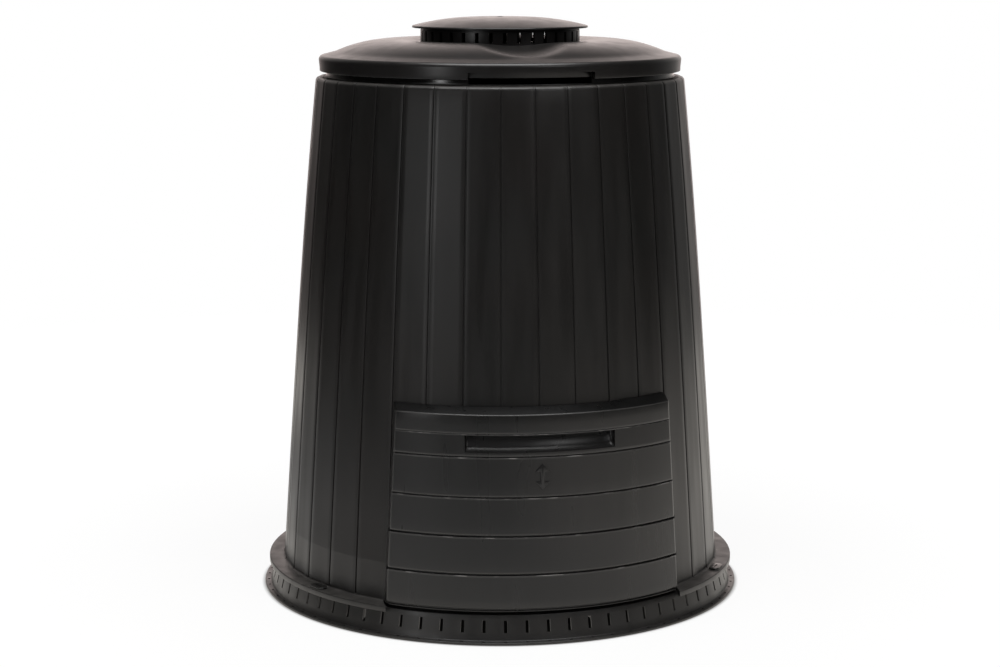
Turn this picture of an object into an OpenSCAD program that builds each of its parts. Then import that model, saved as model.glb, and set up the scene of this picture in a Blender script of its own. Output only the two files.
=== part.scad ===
// Round garden compost bin on a slotted base plate, with a lift-off lid, a turning
// vent cap and a loading hatch that slides up its rails.
// Millimetres, +Z up. The origin is at the centre of the base's underside, and the
// hatch is on the -Y side.

/* [Overall] */
// Height of the planked body, from its foot to its shoulder
body_height = 858; // [600:1:1100]
// Outer radius of the planked body at its foot
foot_radius = 390.5; // [340:0.5:460]
// Outer radius that the planked body reaches at its shoulder
shoulder_radius = 322; // [290:0.5:400]
// Height of the base plate, from the ground to its deck
base_height = 46; // [36:1:80]

/* [Body] */
// Number of planks moulded round the body
plank_count = 37; // [30:1:44]
// How far the body has drawn in at the shoulder, beyond a straight cone
shoulder_draw_in = 8.5; // [2:0.5:16]
// How late the drawing-in starts: 2 is gradual, 5 is only near the shoulder
draw_in_power = 3.5; // [2:0.5:5]
// Width of the groove between two planks
groove_width = 3; // [2:0.5:6]
// Depth of the groove between two planks
groove_depth = 2; // [1:0.5:3]
// Wall of the body
body_wall = 4.5; // [3.5:0.5:6]
// Rounding at the upper end of each plank
plank_end_radius = 7; // [4:0.5:12]
// Outer radius of the neck that the lid drops over
neck_radius = 304; // [270:0.5:308]
// Height of the neck above the shoulder
neck_height = 28; // [18:1:40]
// Half angle of the finger recess in the front of the neck
neck_recess_angle = 19.7; // [12:0.1:30]
// Wall of the neck
neck_wall = 3.5; // [2.5:0.5:5]
// How far the ledge round the body's foot stands out past the foot
ledge_reach = 26; // [18:1:32]
// Thickness of the ledge
ledge_thickness = 5; // [3:0.5:7]
// Fillet between the ledge and the planks
ledge_fillet = 3.5; // [2:0.5:4]
// Depth of the lip that hangs from the ledge over the base plate
ledge_lip_drop = 5; // [2:0.5:10]

/* [Hatch opening] */
// Half width of the loading opening in the body
opening_half_width = 172; // [120:1:176]
// Height of the opening's sill above the body's foot
sill_height = 20; // [10:1:40]
// Height of the opening
opening_height = 234; // [160:1:250]
// Corner radius of the opening
opening_corner = 18; // [8:1:40]

/* [Hatch] */
// Half width of the hatch at its lower edge
hatch_half_width = 249; // [240:1:262]
// How much narrower the hatch is at its top, each side
hatch_narrowing = 20; // [0:1:24]
// Height of the hatch's lower edge above the body's foot
hatch_lift = 11.5; // [8:0.5:20]
// Heights of the boards on the hatch, from the lowest to the highest
board_heights = [58.5, 64, 64, 67, 37, 31];
// How far the hatch's lower edge stands out from the body
hatch_stand_off = 19.5; // [17:0.5:26]
// How far the hatch's upper edge stands out from the body
hatch_top_stand_off = 30; // [24:0.5:36]
// How far each board's lower edge stands out past the board below it
board_step = 4; // [2:0.5:6]
// Height of the undercut below each board's lower edge
board_undercut = 2.5; // [1.5:0.5:5]
// Wall of the hatch
hatch_wall = 3; // [2:0.5:4]
// Rise of the hatch's sloping top, from its front edge to the body
hatch_top_rise = 8; // [4:0.5:14]
// Half width of the hand slot
hand_slot_half_width = 125; // [60:1:150]
// Height of the hand slot
hand_slot_height = 28; // [24:1:31]
// Depth of the hand slot
hand_slot_depth = 16; // [12:0.5:18]

/* [Hatch rails] */
// Lean of the rails, the same as the lean of the body's front
rail_lean = 4; // [3:0.1:5]
// Distance of each rail's stem from the middle of the hatch
rail_offset = 195; // [190:1:196]
// Thickness of a rail's stem
rail_stem = 4; // [3:0.5:6]
// Reach of a rail's head past its stem
rail_head_reach = 6; // [4:0.5:6]
// Thickness of a rail's head
rail_head = 3; // [2:0.5:4]
// How far a rail's head stands off the body's foot radius
rail_stand_off = 9.5; // [8.5:0.5:10]
// Length of a rail above its stop
rail_length = 268; // [200:1:280]
// Length of the hatch's runner on a rail
runner_length = 108; // [60:1:140]
// Free play between a runner and its rail
runner_clearance = 0.5; // [0.3:0.1:1]

/* [Base plate] */
// Radius of the base plate's foot flange
flange_radius = 425; // [405:1:500]
// Width of the foot flange
flange_width = 10; // [6:1:20]
// Thickness of the foot flange
flange_thickness = 4.5; // [3:0.5:8]
// How far the deck's edge lies outside the body's foot
deck_margin = 13.5; // [12:0.5:20]
// Thickness of the deck and of the wall below it
base_wall = 3; // [2:0.5:5]
// Number of air slots round the base plate
air_slot_count = 72; // [36:1:90]
// Width of an air slot
air_slot_width = 4.8; // [3:0.1:6]
// Height of an air slot
air_slot_height = 20; // [10:1:24]
// Height of an air slot's lower end above the ground
air_slot_lift = 17; // [10:1:22]
// Number of ribs below the deck
rib_count = 12; // [8:1:16]
// Thickness of a rib
rib_thickness = 2.5; // [2:0.5:4]
// Depth of a rib below the deck
rib_depth = 25; // [10:1:30]
// Radii of the rings of drain slots in the deck
drain_ring_radii = [110, 220, 335];
// Width of a drain slot, narrow enough to keep mice out
drain_slot_width = 6; // [3:0.5:8]
// Length of a drain slot
drain_slot_length = 42; // [20:1:60]
// Radius of the ring that stands on the ground under the deck's middle
centre_ring_radius = 60; // [40:1:80]

/* [Base clips] */
// Angles of the turn clips round the bin, from the front
clip_angles = [60, 120, 180, 240, 300];
// Width of a clip's button, across the ledge
clip_width = 19; // [14:1:22]
// Length of a clip's button, along the ledge
clip_length = 36; // [22:1:50]
// Thickness of a clip's button
clip_thickness = 3; // [2:0.5:5]
// Radius of a clip's shank
clip_shank_radius = 3; // [2.5:0.1:4]
// Width of the coin slot in a clip's button
coin_slot_width = 2.8; // [2:0.1:4]
// Depth of the coin slot
coin_slot_depth = 1.3; // [0.6:0.1:2]
// Clearance round a clip's shank
clip_clearance = 0.3; // [0.2:0.1:0.5]

/* [Lid] */
// Radius of the lid's rim
lid_radius = 316.5; // [308:0.5:410]
// Wall of the lid
lid_wall = 3.5; // [2.5:0.5:5]
// Height of the lid's skirt, up to its widest line
skirt_height = 18.5; // [16:0.5:30]
// Gap between the shoulder and the lower edge of the skirt
skirt_gap = 10; // [6:0.5:14]
// How much narrower the skirt is at its lower edge
skirt_draft = 1.4; // [0:0.1:3]
// Rounding of the lid's rim
rim_rounding = 8; // [4:0.5:10]
// Rise of the lid's top above its widest line
crown_rise = 35.3; // [28:0.1:50]
// Radius of the circle where the lid is highest
crown_radius = 190; // [170:1:210]
// Radius of the arc that the lid's top follows
crown_arc = 240; // [200:1:400]
// Slope of the flatter band inside the rim
rim_band_slope = 0.26; // [0.15:0.01:0.35]
// Width of the flatter band inside the rim
rim_band_width = 20; // [10:1:26]
// Depth of the grip scoop in the front of the lid, where the lid is highest
scoop_depth = 10; // [4:0.5:12]
// Radius of the scoop across the lid
scoop_radius = 260; // [200:10:400]
// Fall of the scoop's floor towards the rim, in degrees
scoop_fall = 5.7; // [5:0.1:7]
// Half angle of the hand cut-out in the skirt
grip_angle = 19.5; // [12:0.1:30]
// Height of the hand cut-out in the skirt
grip_height = 11.5; // [8:0.5:16]
// Clearance of the lid's locating ring inside the neck
lid_clearance = 2; // [1:0.5:4]
// Clearance under the lid's seat on the neck
seat_clearance = 0.3; // [0.2:0.1:0.5]

/* [Vent] */
// Outer radius of the vent collar on the lid
collar_radius = 139; // [110:0.5:150]
// Height of the vent collar above the lid's crown
collar_height = 17; // [10:0.5:20]
// Wall of the vent collar and of the shutter inside it
vent_wall = 3; // [2:0.5:4]
// Number of slots round the vent
vent_slot_count = 36; // [24:1:48]
// Width of a vent slot
vent_slot_width = 6.8; // [4:0.1:8]
// Height of a vent slot
vent_slot_height = 18; // [8:0.5:20]
// Running clearance between the shutter and the collar
shutter_clearance = 0.4; // [0.3:0.1:0.8]
// Radius of the vent cap
cap_radius = 153.6; // [145:0.1:165]
// Gap between the collar and the vent cap's rim
cap_gap = 3; // [1:0.5:6]
// Rise of the vent cap from its rim to its middle
cap_rise = 19; // [10:0.5:30]
// Radius of the flat middle of the vent cap
cap_flat_radius = 40; // [10:1:60]
// Radius of the pip in the middle of the vent cap
pip_radius = 6; // [3:0.5:10]
// Height of the pip
pip_height = 0.9; // [0.4:0.1:2]
// Radius of the pivot pin
pin_radius = 5; // [4:0.1:8]
// Running clearance of the pivot pin in the lid's hub
pin_clearance = 0.08; // [0.02:0.01:0.1]
// How much tighter the cap's socket is than the pin
pin_press = 0.05; // [0.01:0.01:0.1]
// Radius of the hub in the middle of the vent
hub_radius = 14; // [10:0.5:20]
// Height of the hub and of the spokes that carry it
hub_height = 10; // [6:0.5:14]
// Number of spokes across the vent opening
spoke_count = 4; // [3:1:6]
// Width of a spoke
spoke_width = 8; // [4:0.5:12]

/* [Hidden] */
$fn = 96;

// A cut reaches this far past the face that it opens
over = 1;
// Two faces that must not touch at rest lie this far apart
rest_gap = 0.3;
// A piece that joins a wall reaches this far into it
bite = 1;
// Chamfer on an outside edge
edge_break = 1;

foot_z = base_height;
shoulder_z = foot_z + body_height;
neck_top_z = shoulder_z + neck_height;
deck_radius = foot_radius + deck_margin;

// Outer radius of the body over its plank edges, at a height
function body_radius(z) =
    let (h = (z - foot_z) / body_height)
    foot_radius
        - (foot_radius - shoulder_radius - shoulder_draw_in) * h
        - shoulder_draw_in * pow(max(h, 0), draw_in_power);

function cavity_radius(z) = body_radius(z) - body_wall;

// Points along an arc in the plane of a profile
function arc(centre, radius, from, to, steps) = [
    for (i = [0 : steps])
        let (a = from + (to - from) * i / steps)
        centre + radius * [cos(a), sin(a)]
];

// ---------------------------------------------------------------- planked body

// The outside of the planks from the foot up: height, and how far it is pushed in there
ledge_top_z = foot_z + ledge_thickness;
plank_foot_z = ledge_top_z + ledge_fillet;
plank_end_z = shoulder_z - plank_end_radius;
slope_shares = [0, 0.36, 0.64, 0.84, 1];
outside_levels = concat(
    [for (share = slope_shares) [plank_foot_z + share * (plank_end_z - plank_foot_z), 0]],
    [for (a = [30, 60, 90]) [plank_end_z + plank_end_radius * sin(a), plank_end_radius * (1 - cos(a))]]
);
function outside_line(push) = [for (level = outside_levels)
    [body_radius(level[0]) - level[1] - push, level[0]]];

// The wall, its ledge, its shoulder and its neck are one turned section
ledge_radius = foot_radius + ledge_reach;
ceiling_z = shoulder_z - body_wall;

lip_clearance = 1.5;
shoulder_thickening = 4;

module turned_body() {
    lip_inside = deck_radius + lip_clearance;
    neck_inside = neck_radius - neck_wall;
    rotate_extrude()
        polygon(concat(
            [
                [cavity_radius(foot_z), foot_z],
                [lip_inside, foot_z],
                [lip_inside, foot_z - ledge_lip_drop],
                [ledge_radius, foot_z - ledge_lip_drop],
                [ledge_radius, ledge_top_z - edge_break],
                [ledge_radius - edge_break, ledge_top_z],
                [foot_radius + ledge_fillet, ledge_top_z],
                [foot_radius + ledge_fillet / 3, ledge_top_z + ledge_fillet / 3]
            ],
            outside_line(0),
            [
                [neck_radius, shoulder_z],
                [neck_radius, neck_top_z],
                [neck_inside, neck_top_z],
                [neck_inside, ceiling_z],
                [cavity_radius(ceiling_z) - shoulder_thickening, ceiling_z]
            ],
            reverse([for (share = slope_shares)
                let (z = foot_z + share * (ceiling_z - shoulder_thickening - foot_z))
                [cavity_radius(z), z]])
        ));
}

groove_low_z = plank_foot_z + groove_width;

// A groove between two planks runs up the wall and out over the planks' rounded ends
module plank_groove() {
    floor_line = outside_line(groove_depth);
    rotate([90, 0, 0])
        linear_extrude(height = groove_width, center = true)
            polygon(concat(
                [
                    [body_radius(groove_low_z) - groove_depth, groove_low_z],
                    [ledge_radius, groove_low_z],
                    [ledge_radius, shoulder_z + over],
                    [body_radius(shoulder_z) - plank_end_radius - groove_depth, shoulder_z + over]
                ],
                reverse([for (k = [1 : len(floor_line) - 1]) floor_line[k]])
            ));
}

// The ledge stops on both sides of the hatch, and only the wall's foot goes on
module hatch_bay() {
    side_gap = 2;
    skin = 0.2;
    half = hatch_half_width + side_gap;
    height = ledge_lip_drop + ledge_thickness + ledge_fillet;
    difference() {
        translate([-half, -flange_radius, foot_z - ledge_lip_drop - over])
            cube([2 * half, flange_radius, height + 2 * over]);
        cylinder(r = foot_radius + skin, h = shoulder_z);
    }
}

// The finger recess leaves a low curb above the shoulder
module neck_recess() {
    curb = 2;
    wedge(neck_recess_angle, shoulder_radius, shoulder_z + curb, neck_top_z + over);
}

// A slice of pie to the front, between two heights
module wedge(half_angle, radius, low, high) {
    translate([0, 0, low])
        rotate([0, 0, -90 - half_angle])
            rotate_extrude(angle = 2 * half_angle)
                square([radius, high - low]);
}

module opening_cut() {
    low = foot_z + sill_height;
    high = low + opening_height;
    inner = opening_half_width - opening_corner;
    wall_depth = 80;
    translate([0, wall_depth - foot_radius, 0])
        rotate([90, 0, 0])
            linear_extrude(height = wall_depth + ledge_reach) {
                translate([-inner, low])
                    square([2 * inner, opening_height]);
                translate([-opening_half_width, low + opening_corner])
                    square([2 * opening_half_width, opening_height - 2 * opening_corner]);
                for (x = [-inner, inner], z = [low + opening_corner, high - opening_corner])
                    translate([x, z])
                        circle(opening_corner);
            }
}

// ---------------------------------------------------------------- rails and runners

// The rails lean in with the body's front, so they are drawn upright in a leaning frame
rail_face_y = sqrt(pow(foot_radius + rail_stand_off, 2) - pow(rail_offset, 2));
rail_stem_side = rail_offset + rail_stem / 2;
runner_arm_x = rail_stem_side + rail_head_reach + runner_clearance;
runner_hook_y = -rail_face_y + rail_head + runner_clearance;
stop_height = 8;
stop_lift = 16;
stop_z = foot_z + stop_lift;

module leaning() {
    rotate([-rail_lean, 0, 0])
        children();
}

// A rail is an L: a stem off the body, and a head that reaches outward. The stop
// closes its lower end.
module right_rail() {
    stem_x = rail_offset - rail_stem / 2;
    root = 20;
    difference() {
        leaning() {
            translate([stem_x, -rail_face_y, stop_z])
                cube([rail_stem, root, rail_length]);
            translate([stem_x, -rail_face_y, stop_z])
                cube([rail_stem + rail_head_reach, rail_head, rail_length]);
            translate([stem_x, runner_hook_y, stop_z - stop_height])
                cube([runner_arm_x + hatch_wall - stem_x, root, stop_height - rest_gap]);
            translate([stem_x, runner_hook_y, stop_z - stop_height])
                cube([rail_stem, root, stop_height + bite]);
        }
        rail_root_cut();
    }
}

// The rails' roots end inside the wall
module rail_root_cut() {
    top_z = stop_z + rail_length + stop_lift;
    inset = body_wall / 2;
    rotate_extrude()
        polygon([[0, foot_z], [cavity_radius(foot_z) + inset, foot_z],
                 [cavity_radius(top_z) + inset, top_z], [0, top_z]]);
}

// A runner comes off the hatch outside the rail's head and hooks in behind it
module right_runner() {
    hook_x = rail_stem_side + runner_clearance;
    reach = 8;
    leaning() {
        translate([runner_arm_x, -rail_face_y - reach, stop_z])
            cube([hatch_wall, runner_hook_y + hatch_wall + rail_face_y + reach, runner_length]);
        translate([hook_x, runner_hook_y, stop_z])
            cube([runner_arm_x + hatch_wall - hook_x, hatch_wall, runner_length]);
    }
}

module both_sides() {
    children();
    mirror([1, 0, 0])
        children();
}

module body_shell() {
    color([0.10, 0.10, 0.10])
        union() {
            difference() {
                turned_body();
                round_the_bin(plank_count, -90)
                    plank_groove();
                hatch_bay();
                opening_cut();
                neck_recess();
                clip_holes();
            }
            both_sides()
                right_rail();
        }
}

// ---------------------------------------------------------------- hatch

hatch_foot_z = foot_z + hatch_lift;
hatch_top_z = hatch_foot_z + sum(board_heights, len(board_heights));
function sum(list, count) = count == 0 ? 0 : list[count - 1] + sum(list, count - 1);

// The hatch's face leans evenly from its lower edge to its upper edge
hatch_foot_radius = body_radius(hatch_foot_z) + hatch_stand_off;
hatch_top_radius = body_radius(hatch_top_z) + hatch_top_stand_off;
function hatch_radius(z) =
    hatch_foot_radius
        + (hatch_top_radius - hatch_foot_radius) * (z - hatch_foot_z) / (hatch_top_z - hatch_foot_z);

// The boards' outline, pushed in by a wall: each board leans out to its lower edge
function board_outline(push) = [
    for (i = [0 : len(board_heights) - 1])
        let (low = hatch_foot_z + sum(board_heights, i), high = low + board_heights[i],
             last = i == len(board_heights) - 1)
        each [[hatch_radius(low) - push, low],
              [hatch_radius(high) - (last ? 0 : board_step) - push, high - (last ? 0 : board_undercut)]]
];

// The hatch's lower lip, below the lowest board
lip_height = 5;
lip_inset = 3.5;

module hatch_block(push, half_low, half_high, back_gap, low, top_drop) {
    back_z = hatch_top_z + hatch_top_rise;
    intersection() {
        rotate([0, 0, -90 - 45])
            rotate_extrude(angle = 90)
                polygon(concat(
                    [[body_radius(low) + back_gap, low],
                     [hatch_radius(hatch_foot_z) - lip_inset - push, low],
                     [hatch_radius(hatch_foot_z) - lip_inset - push, hatch_foot_z]],
                    board_outline(push),
                    [[body_radius(back_z) + back_gap, back_z - top_drop]]
                ));
        translate([0, over, 0])
            rotate([90, 0, 0])
                linear_extrude(height = flange_radius)
                    polygon([[-half_low, low - over], [half_low, low - over],
                             [half_high, back_z + over], [-half_high, back_z + over]]);
    }
}

// The hand slot is a pocket in the fifth board, and its walls are the pocket grown
hand_slot_board = 4;

module hand_slot_block(grow, deep) {
    board_low = hatch_foot_z + sum(board_heights, hand_slot_board);
    slot_low = board_low + (board_heights[hand_slot_board] - hand_slot_height) / 2 - 1;
    half = hand_slot_half_width + grow;
    front = hatch_radius(board_low);
    turn = 30;
    translate([0, 0, slot_low - grow])
        intersection() {
            rotate([0, 0, -90 - turn])
                rotate_extrude(angle = 2 * turn)
                    translate([front - hand_slot_depth - grow, 0])
                        square([hand_slot_depth + grow + deep, hand_slot_height + 2 * grow]);
            translate([-half, -flange_radius, 0])
                cube([2 * half, flange_radius, hand_slot_height + 2 * grow]);
        }
}

module hatch_panel() {
    low = hatch_foot_z - lip_height;
    back_gap = 1.2;
    hollow_reach = 30;
    pocket_set_in = board_step + 2.5;
    runner_set_in = 0.5;
    half_low = hatch_half_width;
    half_high = hatch_half_width - hatch_narrowing;
    color([0.12, 0.12, 0.12])
        difference() {
            union() {
                difference() {
                    hatch_block(0, half_low, half_high, back_gap, low, 0);
                    hatch_block(hatch_wall, half_low - hatch_wall, half_high - hatch_wall,
                                -hollow_reach, low - over, hatch_wall + 1);
                }
                hand_slot_block(hatch_wall, -pocket_set_in);
                intersection() {
                    both_sides()
                        right_runner();
                    hatch_block(runner_set_in, half_low, half_high, back_gap, low, 0);
                }
            }
            hand_slot_block(0, hand_slot_depth);
        }
}

// ---------------------------------------------------------------- base plate

// The wall under the deck leans out to the foot flange
wall_foot_radius = flange_radius - flange_width;
// The ribs stand clear of the clips
rib_turn = 15;
air_slot_turn = 1.3;

module round_the_bin(count, turn = 0) {
    for (i = [0 : count - 1])
        rotate([0, 0, turn + i * 360 / count])
            children();
}

module base_plate() {
    deck_under = base_height - base_wall;
    deck_edge_break = 1.5;
    rib_span = deck_radius - base_wall - centre_ring_radius;
    color([0.11, 0.11, 0.11])
        difference() {
            union() {
                rotate_extrude()
                    polygon([
                        [0, deck_under], [deck_radius - base_wall, deck_under],
                        [wall_foot_radius - base_wall, 0], [flange_radius, 0],
                        [flange_radius, flange_thickness - edge_break],
                        [flange_radius - edge_break, flange_thickness],
                        [wall_foot_radius, flange_thickness], [deck_radius, base_height - deck_edge_break],
                        [deck_radius - deck_edge_break, base_height], [0, base_height]
                    ]);
                round_the_bin(rib_count, rib_turn)
                    translate([centre_ring_radius - bite, -rib_thickness / 2, deck_under - rib_depth])
                        cube([rib_span + 1.5 * bite, rib_thickness, rib_depth + bite]);
                ring(centre_ring_radius, 0);
                for (k = [0 : len(drain_ring_radii) - 2])
                    ring((drain_ring_radii[k] + drain_ring_radii[k + 1]) / 2,
                         deck_under - rib_depth + 2 * bite);
            }
            air_slots();
            drain_slots();
            clip_holes();
        }
}

module ring(radius, low) {
    rotate_extrude()
        translate([radius - rib_thickness, low])
            square([rib_thickness, base_height - base_wall - low + bite]);
}

// Each air slot has a notch below it in the foot flange, where water runs off
module air_slots() {
    slot_start = deck_radius - 3 * base_wall;
    notch_inset = 0.5;
    notch_length = flange_width / 2 - notch_inset;
    round_the_bin(air_slot_count, air_slot_turn)
        translate([slot_start, -air_slot_width / 2, air_slot_lift])
            cube([flange_radius - slot_start, air_slot_width, air_slot_height]);
    round_the_bin(air_slot_count, air_slot_turn)
        translate([wall_foot_radius + notch_inset, -air_slot_width / 2, -over])
            cube([notch_length, air_slot_width, flange_thickness + 2 * over]);
}

module drain_slots() {
    for (k = [0 : len(drain_ring_radii) - 1])
        round_the_bin(rib_count * (k + 1), rib_turn + 180 / (rib_count * (k + 1)))
            translate([drain_ring_radii[k] - drain_slot_length / 2, -drain_slot_width / 2,
                       base_height - base_wall - over])
                cube([drain_slot_length, drain_slot_width, base_wall + 2 * over]);
}

// ---------------------------------------------------------------- turn clips

// The shank goes down inside the base wall, and the button lies on the ledge's middle
clip_radius = foot_radius + 6;
clip_button_radius = foot_radius + ledge_reach / 2;
clip_barb_height = 8;
clip_barb_spread = 1.2;

module at_clips() {
    for (a = clip_angles)
        rotate([0, 0, a - 90])
            children();
}

module clip_holes() {
    at_clips()
        translate([clip_radius, 0, 0])
            cylinder(r = clip_shank_radius + clip_clearance, h = foot_z + 2 * ledge_thickness);
}

// A long round-ended button with a slot for a coin
module clip_button() {
    half = (clip_length - clip_width) / 2;
    difference() {
        union() {
            for (y = [-half, half])
                translate([0, y, 0])
                    cylinder(d = clip_width, h = clip_thickness);
            translate([-clip_width / 2, -half, 0])
                cube([clip_width, 2 * half, clip_thickness]);
        }
        translate([-coin_slot_width / 2, -half, clip_thickness - coin_slot_depth])
            cube([coin_slot_width, 2 * half, coin_slot_depth + over]);
    }
}

module base_clips() {
    seat_z = foot_z + ledge_thickness;
    barb_top_z = foot_z - base_wall - rest_gap;
    color([0.08, 0.08, 0.08])
        at_clips() {
            translate([clip_button_radius, 0, seat_z + rest_gap])
                clip_button();
            translate([clip_radius, 0, barb_top_z - clip_barb_height])
                cylinder(r = clip_shank_radius, h = seat_z + rest_gap + bite - barb_top_z + clip_barb_height);
            translate([clip_radius, 0, barb_top_z - clip_barb_height])
                cylinder(r1 = clip_shank_radius - edge_break, r2 = clip_shank_radius + clip_barb_spread,
                         h = clip_barb_height);
        }
}

// ---------------------------------------------------------------- lid

skirt_low_z = shoulder_z + skirt_gap;
rim_z = skirt_low_z + skirt_height;
crown_z = rim_z + crown_rise;

// Height of the lid's top, pushed down by a wall: an arc, then a flatter band
band_radius = lid_radius - rim_rounding - rim_band_width;
function crown_top(r, push) =
    let (on_arc = min(r, band_radius))
    crown_z - crown_arc + sqrt(pow(crown_arc - push, 2) - pow(on_arc - crown_radius, 2))
        - rim_band_slope * (r - on_arc);

// The lid's top and rim, from the vent out to the rim's widest line
function lid_outline(push, inner_radius) =
    let (rim = lid_radius - push, steps = 14,
         rounding = rim_rounding - push / 2,
         corner_z = crown_top(rim - rounding, push))
    concat(
        [for (i = [0 : steps])
            let (r = inner_radius + (band_radius - inner_radius) * i / steps)
            [r, crown_top(r, push)]],
        arc([rim - rounding, corner_z - rounding], rounding, 90 - atan(rim_band_slope), 0, 5)
    );

lid_seat_z = neck_top_z + seat_clearance;
locating_radius = neck_radius - neck_wall - lid_clearance;
collar_inside = collar_radius - vent_wall;
collar_top_z = crown_z + collar_height;
collar_lintel = 2;
vent_slot_low_z = collar_top_z - collar_lintel - vent_slot_height;
vent_slot_turn = 3.5;

// A round bar that lies over the front of the lid and shapes the scoop, widened by the wall
module scoop_bar(push) {
    root = 100;
    reach = lid_radius - root;
    translate([0, 0, crown_z - scoop_depth + crown_radius * tan(scoop_fall)])
        rotate([90 + scoop_fall, 0, 0])
            translate([0, scoop_radius, root])
                cylinder(r = scoop_radius + push, h = reach);
}

// Fills the lid's top under the scoop, so that the scoop has a wall of its own
module scoop_plug() {
    inside = collar_inside + bite;
    intersection() {
        scoop_bar(lid_wall);
        rotate_extrude()
            polygon(concat(
                lid_outline(bite, inside),
                [[lid_radius - lid_wall, skirt_low_z], [inside, skirt_low_z]]
            ));
    }
}

// The seat stands on the neck, and the locating ring drops inside it
module lid_rings() {
    locating_lift = 12;
    lid_ring(neck_radius - neck_wall, neck_radius, lid_seat_z);
    lid_ring(locating_radius - lid_wall, locating_radius, shoulder_z + locating_lift);
}

module lid_ring(inside, outside, low) {
    rotate_extrude()
        translate([inside, low])
            square([outside - inside, crown_top(inside, lid_wall) + bite - low]);
}

hub_low_z = crown_top(collar_inside, 0) - hub_height;

spoke_turn = 45;
spoke_drop = 2;

module vent_spider() {
    translate([0, 0, hub_low_z])
        cylinder(r = hub_radius, h = hub_height);
    round_the_bin(spoke_count, spoke_turn)
        translate([hub_radius - 2 * bite, -spoke_width / 2, hub_low_z])
            cube([collar_inside - hub_radius + 3 * bite, spoke_width, hub_height - spoke_drop]);
}

module vent_slots(outside, inside, turn) {
    round_the_bin(vent_slot_count, turn)
        translate([inside - over, -vent_slot_width / 2, vent_slot_low_z])
            cube([outside - inside + 2 * over, vent_slot_width, vent_slot_height]);
}

module lid_dome() {
    rotate_extrude()
        polygon(concat(
            lid_outline(0, collar_inside),
            [[lid_radius - skirt_draft, skirt_low_z],
             [lid_radius - skirt_draft - lid_wall, skirt_low_z]],
            reverse(lid_outline(lid_wall, collar_inside))
        ));
}

module lid_shell() {
    color([0.09, 0.09, 0.09])
        difference() {
            union() {
                difference() {
                    union() {
                        lid_dome();
                        scoop_plug();
                    }
                    scoop_bar(0);
                }
                rotate_extrude()
                    translate([collar_inside, hub_low_z])
                        square([vent_wall, collar_top_z - hub_low_z]);
                lid_rings();
                vent_spider();
            }
            vent_slots(collar_radius, collar_inside, vent_slot_turn);
            cylinder(r = pin_radius + pin_clearance, h = 2 * shoulder_z);
            skirt_grip();
        }
}

function reverse(list) = [for (i = [len(list) - 1 : -1 : 0]) list[i]];

// The cut-out takes only the skirt, and leaves the rings behind it
module skirt_grip() {
    ring_margin = 2;
    difference() {
        wedge(grip_angle, flange_radius, skirt_low_z - over, skirt_low_z + grip_height);
        cylinder(r = neck_radius + ring_margin, h = 2 * shoulder_z);
    }
}

// ---------------------------------------------------------------- vent cap and its pivot

cap_low_z = collar_top_z + cap_gap;
cap_top_z = cap_low_z + cap_rise;
cap_flat_z = cap_top_z - pip_height;
cap_rim_height = 3.3;
cap_wall = 3;
pin_socket_depth = 20;

// The cap's top is flat in the middle, then follows an arc down to the rim
cap_fall = cap_flat_z - cap_low_z - cap_rim_height;
cap_arc = (pow(cap_radius - cap_flat_radius, 2) + pow(cap_fall, 2)) / (2 * cap_fall);
function cap_top(r, push) =
    cap_flat_z - cap_arc + sqrt(pow(cap_arc, 2) - pow(max(r - cap_flat_radius, 0), 2)) - push;

module vent_cap() {
    steps = 10;
    shutter_lift = 4;
    spoke_window = 20;
    shutter_outside = collar_inside - shutter_clearance;
    shutter_inside = shutter_outside - vent_wall;
    shutter_low_z = hub_low_z + shutter_lift;
    hub_top_z = hub_low_z + hub_height;
    spoke_top_z = hub_top_z - spoke_drop;
    boss_radius = hub_radius - 2;
    function cap_line(edge, push) = [
        for (i = [0 : steps])
            let (r = cap_flat_radius + (edge - cap_flat_radius) * i / steps)
            [r, cap_top(r, push)]
    ];
    color([0.07, 0.07, 0.07])
        difference() {
            union() {
                rotate_extrude()
                    polygon(concat(
                        [[0, cap_top_z], [pip_radius, cap_top_z], [pip_radius, cap_flat_z]],
                        cap_line(cap_radius, 0),
                        [[cap_radius, cap_low_z], [cap_radius - cap_wall, cap_low_z]],
                        reverse(cap_line(cap_radius - cap_wall, cap_wall)),
                        [[0, cap_flat_z - cap_wall]]
                    ));
                rotate_extrude()
                    translate([shutter_inside, shutter_low_z])
                        square([vent_wall, cap_top(shutter_outside, cap_wall / 2) - shutter_low_z]);
                translate([0, 0, hub_top_z + rest_gap])
                    cylinder(r = boss_radius, h = cap_flat_z - cap_wall / 2 - hub_top_z - rest_gap);
            }
            vent_slots(shutter_outside, shutter_inside, vent_slot_turn);
            round_the_bin(spoke_count, spoke_turn)
                translate([shutter_inside - over, -spoke_window, shutter_low_z - over])
                    cube([vent_wall + 2 * over, 2 * spoke_window,
                          spoke_top_z + rest_gap + over - shutter_low_z]);
            translate([0, 0, hub_top_z - over])
                cylinder(r = pin_radius - pin_press, h = pin_socket_depth + over + rest_gap);
        }
}

// The pin stops short of its socket's end
module vent_pivot() {
    head_thickness = 3;
    head_overlap = 4;
    socket_end_gap = 2;
    head_top_z = hub_low_z - rest_gap;
    pin_length = hub_height + 2 * rest_gap + pin_socket_depth - socket_end_gap;
    color([0.10, 0.10, 0.10]) {
        translate([0, 0, head_top_z - head_thickness])
            cylinder(r = hub_radius - head_overlap, h = head_thickness);
        translate([0, 0, head_top_z - over])
            cylinder(r = pin_radius, h = pin_length + over);
    }
}

base_plate();
base_clips();
body_shell();
hatch_panel();
lid_shell();
vent_cap();
vent_pivot();
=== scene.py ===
"""Looks of a round garden compost bin: planked body, sliding loading hatch, lift-off lid and turning vent."""

import logging
import math
from collections.abc import Callable, Sequence
from dataclasses import dataclass
from enum import Enum

import bmesh
import bpy
from mathutils import Matrix, Vector


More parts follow.
